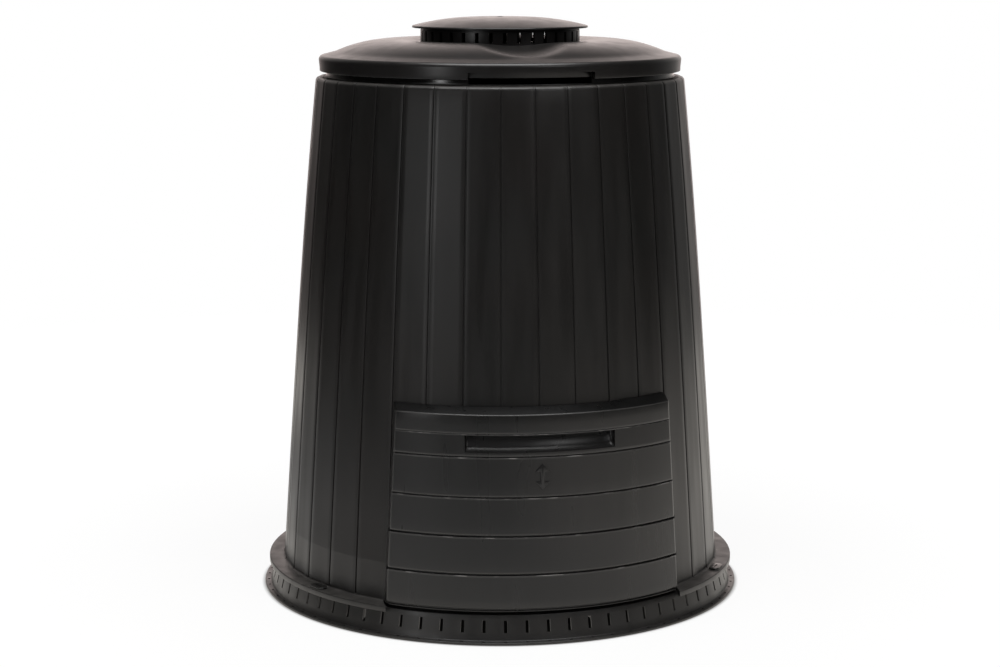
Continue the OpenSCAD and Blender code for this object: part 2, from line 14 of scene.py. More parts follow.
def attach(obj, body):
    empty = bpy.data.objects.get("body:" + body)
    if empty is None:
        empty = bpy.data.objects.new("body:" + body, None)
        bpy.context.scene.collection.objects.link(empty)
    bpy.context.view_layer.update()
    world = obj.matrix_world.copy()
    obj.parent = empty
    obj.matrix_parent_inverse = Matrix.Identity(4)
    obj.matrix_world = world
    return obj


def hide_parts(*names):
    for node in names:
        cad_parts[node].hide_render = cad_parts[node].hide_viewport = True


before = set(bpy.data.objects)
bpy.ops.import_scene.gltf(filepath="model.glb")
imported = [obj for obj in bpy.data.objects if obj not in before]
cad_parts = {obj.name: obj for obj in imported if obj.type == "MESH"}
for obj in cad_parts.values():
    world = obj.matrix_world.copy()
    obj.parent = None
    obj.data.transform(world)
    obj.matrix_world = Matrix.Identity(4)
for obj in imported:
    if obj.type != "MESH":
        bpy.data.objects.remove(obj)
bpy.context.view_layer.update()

LOG = logging.getLogger("compost_bin")

# Shapes are modelled in millimetres, and Piece.place brings them to metres.
MM = 0.001
WELD = 0.01
FULL_TURN = 2.0 * math.pi
QUARTER_TURN = math.pi / 2.0
FRONT = -QUARTER_TURN
AXIS = Vector((0.0, 0.0, 1.0))
ORIGIN = Vector((0.0, 0.0, 0.0))

# The point attribute that marks painted glints and painted highlight lines along edges, and painted shade,
# and its values.
PAINTED_LIGHT_MARK = "painted_light"
PAINTED_GLINT, LIT, PAINTED_SHADE = 1.0, 0.5, -1.0

Shape = bmesh.types.BMesh
Socket = bpy.types.NodeSocket
Sockets = bpy.types.bpy_prop_collection
Outline = list[tuple[float, float]]
Corner = tuple[float, float, float]
Colour = tuple[float, float, float]
Range = tuple[float, float, float, float]
Span = tuple[Corner, Corner]


# ------------------------------------------------------------------ shaping tools


def polar(r: float, turn: float, z: float = 0.0) -> Vector:
    """The point at a radius, a direction and a height."""
    return Vector((r * math.cos(turn), r * math.sin(turn), z))


def weld(bm: Shape, distance: float = WELD) -> None:
    """Merges the doubled points of a shape."""
    bmesh.ops.remove_doubles(bm, verts=bm.verts, dist=distance)


def ease(bm: Shape, parts: Sequence[object], reach: float, segments: int, affect: str = "EDGES") -> None:
    """Rounds edges, or points, of a shape."""
    bmesh.ops.bevel(bm, geom=parts, offset=reach, offset_type="OFFSET", segments=segments, profile=0.5,
                    affect=affect, material=-1, clamp_overlap=True)


def ring_section(inside: float, outside: float, low: float, high: float) -> Outline:
    """The square section of a plain ring."""
    return [(inside, low), (outside, low), (outside, high), (inside, high)]


def rounded(corners: Sequence[Corner], segments: int = 4) -> Outline:
    """Rounds the corners of an outline.

    Args:
        corners: Points (r, z, reach), where reach is how far the rounding starts from the corner.
        segments: Steps of each rounding.

    Returns:
        The points of the outline, in the order of the corners.
    """
    bm = bmesh.new()
    verts = [bm.verts.new((r, 0.0, z)) for r, z, _ in corners]
    bm.faces.new(verts)
    for reach in sorted({corner[2] for corner in corners if corner[2] > 0.0}):
        group = [vert for vert, corner in zip(verts, corners) if corner[2] == reach]
        ease(bm, group, reach, segments, "VERTICES")
    bm.faces.ensure_lookup_table()
    points = [(vert.co.x, vert.co.z) for vert in bm.faces[0].verts]
    bm.free()
    first = Vector(corners[0][:2])
    start = min(range(len(points)), key=lambda i: (Vector(points[i]) - first).length)
    return points[start:] + points[:start]


def turned(outline: Outline, steps: int = 240, sweep: float = FULL_TURN, middle: float = 0.0) -> Shape:
    """Turns a closed outline about the upright axis.

    Args:
        outline: Points (r, z).
        steps: Steps round the turn.
        sweep: Angle of the turn.
        middle: Direction of the middle of a part turn.

    Returns:
        The closed shape.
    """
    bm = bmesh.new()
    full = sweep >= FULL_TURN
    verts = [bm.verts.new((r, 0.0, z)) for r, z in outline]
    face = bm.faces.new(verts)
    edges = list(face.edges)
    if full:
        bmesh.ops.delete(bm, geom=[face], context="FACES_ONLY")
    geom = verts + edges + ([] if full else [face])
    bmesh.ops.spin(bm, geom=geom, cent=ORIGIN, axis=AXIS, angle=sweep, steps=steps, use_merge=full)
    if not full:
        start = Matrix.Rotation(middle - sweep / 2.0, 3, "Z")
        bmesh.ops.rotate(bm, verts=bm.verts, cent=ORIGIN, matrix=start)
    weld(bm)
    bmesh.ops.delete(bm, geom=[edge for edge in bm.edges if edge.is_wire], context="EDGES")
    return bm


def repeated(bm: Shape, count: int) -> Shape:
    """Repeats one sector all round the axis and welds the sectors together.

    Args:
        bm: The first sector.
        count: Number of sectors in the whole turn.

    Returns:
        The same shape, with all its sectors.
    """
    geom = bm.verts[:] + bm.edges[:] + bm.faces[:]
    bmesh.ops.spin(bm, geom=geom, cent=ORIGIN, axis=AXIS, angle=FULL_TURN * (count - 1) / count,
                   steps=count - 1, use_duplicate=True)
    weld(bm)
    return bm


def woven(columns: int, rows: int, place: Callable[[int, int], Vector]) -> Shape:
    """Lays a grid over a surface.

    Args:
        columns: Number of lines of points across the grid.
        rows: Number of lines of points up the grid.
        place: Gives the place of the point at a column and a row.

    Returns:
        The open surface.
    """
    bm = bmesh.new()
    bmesh.ops.create_grid(bm, x_segments=columns - 1, y_segments=rows - 1, size=0.5)
    for vert in bm.verts:
        column = round((vert.co.x + 0.5) * (columns - 1))
        row = round((vert.co.y + 0.5) * (rows - 1))
        vert.co = place(column, row)
    return bm


def swept(outline: Outline, turns: Sequence[float]) -> Shape:
    """Lays a closed outline out in several directions about the axis.

    Args:
        outline: Points (r, z).
        turns: Directions of the lines of points.

    Returns:
        The wall, open at its two sides only.
    """
    loop = outline + outline[:1]

    def place(column: int, row: int) -> Vector:
        """The point of the outline in one direction."""
        r, z = loop[row]
        return polar(r, turns[column], z)

    bm = woven(len(turns), len(loop), place)
    weld(bm)
    return bm


def slotted_sector(outline: Outline, angles: Sequence[float], middle: float,
                   slots: Sequence[Callable[[float, float], bool]]) -> Shape:
    """A sector of a turned wall, with holes right through it.

    Args:
        outline: Closed outline (r, z) of the wall.
        angles: Directions of the lines of points, from the sector's middle. The first past it bounds a hole.
        middle: Direction of the sector's middle.
        slots: One test for each hole, which says whether the middle of a face, at (r, z), lies in it.

    Returns:
        The sector, open at its two sides only.
    """
    bm = swept(outline, [middle + angle for angle in angles])
    half = min(angle for angle in angles if angle > 0.0)
    across = polar(1.0, middle + QUARTER_TURN)
    for is_slot in slots:
        doomed = []
        for face in bm.faces:
            centre = face.calc_center_median()
            r = math.hypot(centre.x, centre.y)
            if abs(centre.dot(across)) < half * r and is_slot(r, centre.z):
                doomed.append(face)
        rims = dict.fromkeys(edge for face in doomed for edge in face.edges)
        bmesh.ops.delete(bm, geom=doomed, context="FACES")
        bmesh.ops.bridge_loops(bm, edges=[edge for edge in rims if edge.is_valid and edge.is_boundary])
    return bm


def block(low: Sequence[float], high: Sequence[float], rounding: float = 0.0,
          matrix: Matrix | None = None) -> Shape:
    """A block between two corners, with its edges rounded.

    Args:
        low: The corner with the least x, y and z.
        high: The corner with the greatest.
        rounding: Reach of the rounding along its edges.
        matrix: Turns or leans the block, where it is given.

    Returns:
        The block.
    """
    bm = bmesh.new()
    bmesh.ops.create_cube(bm, size=1.0)
    bmesh.ops.scale(bm, verts=bm.verts, vec=Vector(high) - Vector(low))
    bmesh.ops.translate(bm, verts=bm.verts, vec=(Vector(high) + Vector(low)) / 2.0)
    if rounding > 0.0:
        ease(bm, bm.edges[:], rounding, 2)
    if matrix is not None:
        bmesh.ops.transform(bm, matrix=matrix, verts=bm.verts)
    return bm


def rod(radius: float, low: float, high: float, middle: Vector = ORIGIN, rounding: float = 0.0) -> Shape:
    """An upright round bar between two heights.

    Args:
        radius: Its radius.
        low: Height of its foot.
        high: Height of its top.
        middle: Where it stands.
        rounding: Reach of the rounding along its rims.

    Returns:
        The bar.
    """
    bm = bmesh.new()
    bmesh.ops.create_cone(bm, cap_ends=True, segments=64, radius1=radius, radius2=radius, depth=high - low)
    bmesh.ops.translate(bm, verts=bm.verts, vec=Vector((middle.x, middle.y, (low + high) / 2.0)))
    if rounding > 0.0:
        rims = [edge for edge in bm.edges if abs(edge.verts[0].co.z - edge.verts[1].co.z) < WELD]
        ease(bm, rims, rounding, 3)
    return bm


def gathered(*parts: Shape) -> Shape:
    """Puts several shapes into one, unwelded.

    Args:
        parts: The shapes, which are used up.

    Returns:
        The shape that holds them all.
    """
    whole = bmesh.new()
    for part in parts:
        mesh = bpy.data.meshes.new("part")
        part.to_mesh(mesh)
        part.free()
        whole.from_mesh(mesh)
        bpy.data.meshes.remove(mesh)
    return whole


def paired_blocks(spans: Sequence[Span], rounding: float, lean: Matrix) -> Shape:
    """Leaning blocks on the left and on the right of the hatch's middle.

    Args:
        spans: Two corners of each block on the right.
        rounding: Reach of the rounding along their edges.
        lean: Leans them all.

    Returns:
        All the blocks.
    """
    parts = []
    for side in (-1.0, 1.0):
        for low, high in spans:
            near, far = sorted((side * low[0], side * high[0]))
            parts.append(block((near, *low[1:]), (far, *high[1:]), rounding, lean))
    return gathered(*parts)


def as_object(bm: Shape, name: str) -> bpy.types.Object:
    """Turns a shape into an object of the scene.

    Args:
        bm: The shape, which is used up.
        name: Name of the object and of its mesh.

    Returns:
        The object.
    """
    mesh = bpy.data.meshes.new(name)
    bm.to_mesh(mesh)
    bm.free()
    obj = bpy.data.objects.new(name, mesh)
    bpy.context.scene.collection.objects.link(obj)
    return obj


def combined(base: Shape, tool: Shape, operation: str = "DIFFERENCE") -> Shape:
    """Cuts a shape with another, or joins or intersects them.

    Args:
        base: The shape that is kept.
        tool: The shape that works on it.
        operation: Name of the boolean operation.

    Returns:
        The result.
    """
    for bm in (base, tool):
        bmesh.ops.recalc_face_normals(bm, faces=bm.faces)
    first, second = as_object(base, "base"), as_object(tool, "tool")
    step = first.modifiers.new("combined", "BOOLEAN")
    step.object, step.operation, step.solver = second, operation, "EXACT"
    bpy.context.view_layer.update()
    mesh = bpy.data.meshes.new_from_object(first.evaluated_get(bpy.context.evaluated_depsgraph_get()))
    result = bmesh.new()
    result.from_mesh(mesh)
    for obj in (first, second):
        data = obj.data
        bpy.data.objects.remove(obj)
        bpy.data.meshes.remove(data)
    bpy.data.meshes.remove(mesh)
    return result


# ------------------------------------------------------------------ node groups and finishes


class Links:
    """Adds nodes to a tree and joins them up."""

    def __init__(self, tree: bpy.types.NodeTree) -> None:
        """Takes the tree to work on."""
        self.tree = tree

    def add(self, kind: str, **settings: object) -> bpy.types.Node:
        """Adds a node and sets its properties.

        Args:
            kind: Type of the node.
            settings: Its properties by name.

        Returns:
            The node.
        """
        node = self.tree.nodes.new(kind)
        for name, value in settings.items():
            setattr(node, name, value)
        return node

    def join(self, source: Socket, target: Socket) -> None:
        """Joins two sockets."""
        self.tree.links.new(source, target)

    def feed(self, socket: Socket, value: object) -> None:
        """Joins a socket to another one, or sets it to a plain value.

        Args:
            socket: The socket that takes the value.
            value: A socket, a number or a vector.
        """
        if isinstance(value, Socket):
            self.join(value, socket)
        else:
            socket.default_value = value

    def placed(self, group: bpy.types.NodeTree, place: Socket, **values: float) -> bpy.types.Node:
        """Adds a node group and gives it its place and its values.

        Args:
            group: The node group.
            place: The coordinates that it reads.
            values: Its inputs by name, with _ for a space.

        Returns:
            The group's node.
        """
        node = self.add("ShaderNodeGroup", node_tree=group)
        self.join(place, node.inputs["Vector"])
        for name, value in values.items():
            node.inputs[name.replace("_", " ")].default_value = value
        return node

    def maths(self, operation: str, first: object, second: object) -> Socket:
        """A Math node.

        Args:
            operation: What it does.
            first: A socket or a number.
            second: A socket or a number.

        Returns:
            Its result.
        """
        node = self.add("ShaderNodeMath", operation=operation)
        self.feed(node.inputs[0], first)
        self.feed(node.inputs[1], second)
        return node.outputs[0]

    def vectors(self, operation: str, first: object, second: object) -> Socket:
        """A Vector Math node.

        Args:
            operation: What it does.
            first: A socket or a vector.
            second: A socket, a vector, or a number to scale by.

        Returns:
            Its result.
        """
        node = self.add("ShaderNodeVectorMath", operation=operation)
        self.feed(node.inputs[0], first)
        self.feed(node.inputs["Scale"] if operation == "SCALE" else node.inputs[1], second)
        return node.outputs["Value" if operation in ("DOT_PRODUCT", "LENGTH") else "Vector"]

    def noise(self, vector: Socket, scale: object, detail: float,
              stretch: tuple[float, float, float] = (1.0, 1.0, 1.0)) -> Socket:
        """Noise over a stretched vector.

        Args:
            vector: The coordinates.
            scale: Its scale, a socket or a number.
            detail: Its detail.
            stretch: What the coordinates are multiplied by.

        Returns:
            The noise, from 0 to 1.
        """
        mapping = self.add("ShaderNodeMapping")
        mapping.inputs["Scale"].default_value = stretch
        self.join(vector, mapping.inputs["Vector"])
        node = self.add("ShaderNodeTexNoise")
        self.join(mapping.outputs["Vector"], node.inputs["Vector"])
        node.inputs["Detail"].default_value = detail
        self.feed(node.inputs["Scale"], scale)
        return node.outputs["Fac"]

    def ramp(self, value: Socket, low: float, high: float, to_low: float = 0.0,
             to_high: float = 1.0) -> Socket:
        """Maps a value from one range to another, and holds it there.

        Args:
            value: The value.
            low: Start of its range.
            high: End of its range.
            to_low: The result at the start.
            to_high: The result at the end.

        Returns:
            The result.
        """
        node = self.add("ShaderNodeMapRange")
        self.join(value, node.inputs["Value"])
        for name, number in (("From Min", low), ("From Max", high), ("To Min", to_low), ("To Max", to_high)):
            node.inputs[name].default_value = number
        return node.outputs["Result"]

    def mixed(self, mask: Socket, first: object, second: object) -> Socket:
        """A colour between two.

        Args:
            mask: Share of the second colour.
            first: A socket or a colour.
            second: A socket or a colour.

        Returns:
            The colour.
        """
        node = self.add("ShaderNodeMix", data_type="RGBA")
        self.join(mask, node.inputs["Factor"])
        for socket, value in ((node.inputs[6], first), (node.inputs[7], second)):
            self.feed(socket, value if isinstance(value, Socket) else (*value, 1.0))
        return node.outputs[2]


@dataclass(frozen=True)
class Effect:
    """A node group that more than one finish uses.

    Attributes:
        name: Name of the group.
        vectors: Names of its vector inputs.
        numbers: Names of its number inputs.
        results: Names of its outputs, all numbers.
        wire: Fills it with nodes, between its inputs and its outputs.
    """

    name: str
    vectors: tuple[str, ...]
    numbers: tuple[str, ...]
    results: tuple[str, ...]
    wire: Callable[[Links, Sockets, Sockets], None]

    def group(self) -> bpy.types.NodeTree:
        """Makes the node group at its first use.

        Returns:
            The group.
        """
        if self.name in bpy.data.node_groups:
            return bpy.data.node_groups[self.name]
        tree = bpy.data.node_groups.new(self.name, "ShaderNodeTree")
        for label in self.vectors:
            tree.interface.new_socket(name=label, in_out="INPUT", socket_type="NodeSocketVector")
        for label in self.numbers:
            tree.interface.new_socket(name=label, in_out="INPUT", socket_type="NodeSocketFloat")
        for label in self.results:
            tree.interface.new_socket(name=label, in_out="OUTPUT", socket_type="NodeSocketFloat")
        links = Links(tree)
        into, out = links.add("NodeGroupInput"), links.add("NodeGroupOutput")
        self.wire(links, into.outputs, out.inputs)
        return tree


def wire_grain(links: Links, into: Sockets, out: Sockets) -> None:
    """Fine grain, flow marks and gentle sinks of moulded plastic.

    Args:
        links: The group's tree.
        into: The group's inputs.
        out: The group's outputs.
    """
    vector = into["Vector"]
    fine = links.noise(vector, scale=into["Grain Scale"], detail=2.0)
    waves = links.noise(vector, scale=14.0, detail=1.0, stretch=(1.0, 1.0, 0.25))
    flow = links.noise(vector, scale=42.0, detail=1.5, stretch=(1.0, 1.0, 0.10))
    mottle = links.noise(vector, scale=5.5, detail=3.0)
    height = links.maths("ADD", links.maths("MULTIPLY", fine, into["Grain"]),
                         links.maths("MULTIPLY", waves, into["Waviness"]))
    links.join(height, out["Height"])
    links.join(links.ramp(flow, low=0.34, high=0.68), out["Flow"])
    links.join(links.ramp(mottle, low=0.36, high=0.66), out["Mottle"])


def wire_dust(links: Links, into: Sockets, out: Sockets) -> None:
    """A thin patchy film where a surface faces up.

    Args:
        links: The group's tree.
        into: The group's inputs.
        out: The group's outputs.
    """
    upright = links.add("ShaderNodeSeparateXYZ")
    links.join(into["Normal"], upright.inputs["Vector"])
    facing = links.ramp(upright.outputs["Z"], low=0.35, high=0.95)
    patches = links.ramp(links.noise(into["Vector"], scale=34.0, detail=6.0), low=0.15, high=0.85)
    film = links.maths("MULTIPLY", facing, patches)
    links.join(links.maths("MULTIPLY", film, into["Amount"]), out["Mask"])


def wire_scuffs(links: Links, into: Sockets, out: Sockets) -> None:
    """Sparse fine scratches and rubbed spots.

    Args:
        links: The group's tree.
        into: The group's inputs.
        out: The group's outputs.
    """
    vector = into["Vector"]
    level = links.noise(vector, scale=110.0, detail=2.0, stretch=(1.0, 1.0, 14.0))
    thin = links.ramp(level, low=0.66, high=0.78)
    across = links.noise(vector, scale=140.0, detail=2.0, stretch=(9.0, 3.0, 1.2))
    slanted = links.ramp(across, low=0.68, high=0.80)
    where = links.ramp(links.noise(vector, scale=6.0, detail=2.0), low=0.52, high=0.70)
    marks = links.maths("MULTIPLY", links.maths("MAXIMUM", thin, slanted), where)
    links.join(links.maths("MULTIPLY", marks, into["Amount"]), out["Mask"])


def wire_painted_edge_light(links: Links, into: Sockets, out: Sockets) -> None:
    """Painted glints as pale broken marks along edges, a thin painted highlight line along edges, and painted
    shade.

    Args:
        links: The group's tree.
        into: The group's inputs. Edge runs from PAINTED_SHADE through LIT to PAINTED_GLINT.
        out: The group's outputs.
    """
    edge = into["Edge"]
    # Breaks the painted glints into short pale marks.
    glint_breaks = links.ramp(links.noise(into["Vector"], scale=30.0, detail=2.0), low=0.53, high=0.66)
    marks = links.maths("MULTIPLY", links.ramp(edge, low=0.55, high=PAINTED_GLINT), glint_breaks)
    # A thin painted highlight line where edges are marked LIT.
    line = links.ramp(edge, low=0.0, high=LIT, to_high=0.16)
    mask = links.maths("MAXIMUM", marks, line)
    links.join(links.maths("MULTIPLY", mask, into["Amount"]), out["Mask"])
    # Painted shade where the edge mark is below zero.
    links.join(links.ramp(edge, low=PAINTED_SHADE, high=0.0, to_low=0.85, to_high=0.0), out["Painted Shade"])


MOULDED_GRAIN = Effect("moulded_grain", ("Vector",), ("Grain Scale", "Grain", "Waviness"),
                       ("Height", "Flow", "Mottle"), wire_grain)
SETTLED_DUST = Effect("settled_dust", ("Vector", "Normal"), ("Amount",), ("Mask",), wire_dust)
HANDLING_SCUFFS = Effect("handling_scuffs", ("Vector",), ("Amount",), ("Mask",), wire_scuffs)
# Painted glints, painted highlight lines and painted shade, driven by the edge marks.
PAINTED_EDGE_LIGHT = Effect("painted_edge_light", ("Vector",), ("Edge", "Amount"), ("Mask", "Painted Shade"), wire_painted_edge_light)


@dataclass(frozen=True)
class SatinPlastic:
    """A satin black recycled plastic.

    Attributes:
        name: Name of the material.
        colour: Main colour.
        tint: Colour of the mottled patches.
        film: Colour of the settled film and of the scuffs.
        painted_glint_colour: Colour of the painted glints along edges.
        painted_shade_colour: Colour of the painted shade.
        roughness: Lowest and highest roughness.
        grain_scale: Grains in a metre.
        grain: Height of the grain in millimetres.
        waviness: Height of the gentle sinks in millimetres.
        dust: Share of the film on faces that point up.
        scuffs: Share of the scuffs.
        edges: Share of the painted glints and painted highlight lines, where the piece marks its edges.
        dust_matt: Roughness that the film adds.
        scuff_matt: Roughness that the scuffs add.
        painted_shade_matt: Roughness that the painted shade adds.
        sheen: Height in metres past which the moulding is smoother, and its share of roughness there.
        sheen_blend: Height over which it turns smoother, in metres.
        ior: Index of refraction.
    """

    name: str
    colour: Colour
    tint: Colour
    film: Colour = (0.030, 0.028, 0.026)
    # Painted glints along edges.
    painted_glint_colour: Colour = (0.27, 0.26, 0.25)
    # Painted shade.
    painted_shade_colour: Colour = (0.0020, 0.0020, 0.0020)
    roughness: tuple[float, float] = (0.30, 0.40)
    grain_scale: float = 1400.0
    grain: float = 0.03
    waviness: float = 0.25
    dust: float = 0.35
    scuffs: float = 0.12
    edges: float = 0.0
    dust_matt: float = 0.22
    scuff_matt: float = 0.12
    # Roughness added along with the painted shade.
    painted_shade_matt: float = 0.0
    sheen: tuple[float, float] = (0.0, 1.0)
    sheen_blend: float = 0.003
    ior: float = 1.49

    def material(self) -> bpy.types.Material:
        """Makes the material at its first use.

        Returns:
            The material.
        """
        if self.name in bpy.data.materials:
            return bpy.data.materials[self.name]
        made = bpy.data.materials.new(self.name)
        made.use_nodes = True
        links = Links(made.node_tree)
        shader = made.node_tree.nodes["Principled BSDF"]
        place = links.add("ShaderNodeTexCoord").outputs["Object"]
        facing = links.add("ShaderNodeNewGeometry").outputs["Normal"]
        grain = links.placed(MOULDED_GRAIN.group(), place, Grain_Scale=self.grain_scale,
                             Grain=self.grain * MM, Waviness=self.waviness * MM)
        dust = links.placed(SETTLED_DUST.group(), place, Amount=self.dust)
        links.join(facing, dust.inputs["Normal"])
        scuffs = links.placed(HANDLING_SCUFFS.group(), place, Amount=self.scuffs)
        marbled = links.mixed(grain.outputs["Mottle"], self.colour, self.tint)
        dusty = links.mixed(dust.outputs["Mask"], marbled, self.film)
        colour = links.mixed(scuffs.outputs["Mask"], dusty, self.film)
        dulled = [(dust.outputs["Mask"], self.dust_matt), (scuffs.outputs["Mask"], self.scuff_matt)]
        # Painted glints and painted highlight lines along marked edges, and painted shade, read from the
        # point attribute.
        if self.edges:
            edges = links.placed(PAINTED_EDGE_LIGHT.group(), place, Amount=self.edges)
            marked = links.add("ShaderNodeAttribute", attribute_name=PAINTED_LIGHT_MARK)
            links.join(marked.outputs["Fac"], edges.inputs["Edge"])
            colour = links.mixed(edges.outputs["Mask"], colour, self.painted_glint_colour)
            colour = links.mixed(edges.outputs["Painted Shade"], colour, self.painted_shade_colour)
            dulled.append((edges.outputs["Painted Shade"], self.painted_shade_matt))
        links.join(colour, shader.inputs["Base Color"])
        rough = self.roughness_nodes(links, place, grain.outputs["Flow"], dulled)
        links.join(rough, shader.inputs["Roughness"])
        bump = links.add("ShaderNodeBump")
        bump.inputs["Strength"].default_value = 1.0
        bump.inputs["Distance"].default_value = 1.0
        links.join(grain.outputs["Height"], bump.inputs["Height"])
        links.join(bump.outputs["Normal"], shader.inputs["Normal"])
        shader.inputs["IOR"].default_value = self.ior
        return made

    def roughness_nodes(self, links: Links, place: Socket, flow: Socket,
                        dulled: Sequence[tuple[Socket, float]]) -> Socket:
        """Adds up the roughness.

        Args:
            links: The material's tree.
            place: The coordinates.
            flow: The flow marks.
            dulled: Masks, each with the roughness that it adds.

        Returns:
            The roughness.
        """
        rough = links.ramp(flow, 0.0, 1.0, *self.roughness)
        for mask, matt in dulled:
            rough = links.maths("ADD", rough, links.maths("MULTIPLY", mask, matt))
        brink, kept = self.sheen
        if brink:
            upright = links.add("ShaderNodeSeparateXYZ")
            links.join(place, upright.inputs["Vector"])
            kept_share = links.ramp(upright.outputs["Z"], brink, brink + self.sheen_blend, 1.0, kept)
            rough = links.maths("MULTIPLY", rough, kept_share)
        return rough


class Finish(Enum):
    """The finishes of the bin's mouldings."""

    BODY = SatinPlastic("body_plastic", (0.0132, 0.0128, 0.0122), (0.0156, 0.0140, 0.0130),
                        film=(0.100, 0.095, 0.088), dust=0.7, sheen=(0.906, 0.35))
    # The hatch's edge marks give it painted glints, painted highlight lines and painted shade on its top.
    HATCH = SatinPlastic("hatch_plastic", (0.0136, 0.0136, 0.0130), (0.0156, 0.0149, 0.0149),
                         roughness=(0.27, 0.33), waviness=0.15, dust=0.02, scuffs=0.03, edges=1.0)
    LID = SatinPlastic("lid_plastic", (0.0126, 0.0116, 0.0116), (0.0148, 0.0136, 0.0130),
                       roughness=(0.29, 0.33), waviness=0.06, dust=0.15)
    VENT = SatinPlastic("vent_plastic", (0.0126, 0.0118, 0.0118), (0.0140, 0.0132, 0.0132),
                        roughness=(0.30, 0.34), waviness=0.05, dust=0.12)
    # The base's edge marks give it painted shade inside the rim's wall.
    BASE = SatinPlastic("base_plastic", (0.0240, 0.0234, 0.0226), (0.0275, 0.0258, 0.0244),
                        waviness=0.2, dust=0.05, edges=1.0, painted_shade_matt=0.5)
    CLIP = SatinPlastic("clip_plastic", (0.0120, 0.0118, 0.0115), (0.0135, 0.0130, 0.0125),
                        roughness=(0.22, 0.30), waviness=0.05)


class Body(Enum):
    """The bodies that move on their own."""

    BIN = "bin"
    HATCH = "hatch"
    LID = "lid"
    VENT = "vent"


@dataclass(frozen=True)
class Piece:
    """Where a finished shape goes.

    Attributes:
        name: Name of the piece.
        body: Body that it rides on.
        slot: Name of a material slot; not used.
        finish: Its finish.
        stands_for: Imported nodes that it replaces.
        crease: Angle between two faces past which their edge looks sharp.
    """

    name: str
    body: Body
    slot: str
    finish: Finish
    stands_for: tuple[str, ...] = ()
    crease: float = 34.0

    def place(self, bm: Shape, welded: bool = True) -> bpy.types.Object:
        """Finishes a shape, dresses it and puts it on its body.

        Args:
            bm: The shape, in millimetres.
            welded: Whether its doubled points are merged first.

        Returns:
            The object.
        """
        if welded:
            weld(bm)
            bmesh.ops.dissolve_degenerate(bm, dist=WELD / 2.0, edges=bm.edges)
        bmesh.ops.recalc_face_normals(bm, faces=bm.faces)
        bmesh.ops.scale(bm, verts=bm.verts, vec=Vector((MM, MM, MM)))
        open_edges = sum(not edge.is_manifold for edge in bm.edges)
        obj = as_object(bm, self.name)
        obj.data.shade_smooth()
        obj.data.set_sharp_from_angle(angle=math.radians(self.crease))
        obj.data.materials.append(self.finish.value.material())
        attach(obj, self.body.value)
        if self.stands_for:
            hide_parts(*self.stands_for)
        LOG.info("%s: %d faces, %d open edges, on %s", self.name, len(obj.data.polygons), open_edges,
                 self.body.value)
        return obj


# ------------------------------------------------------------------ planked body


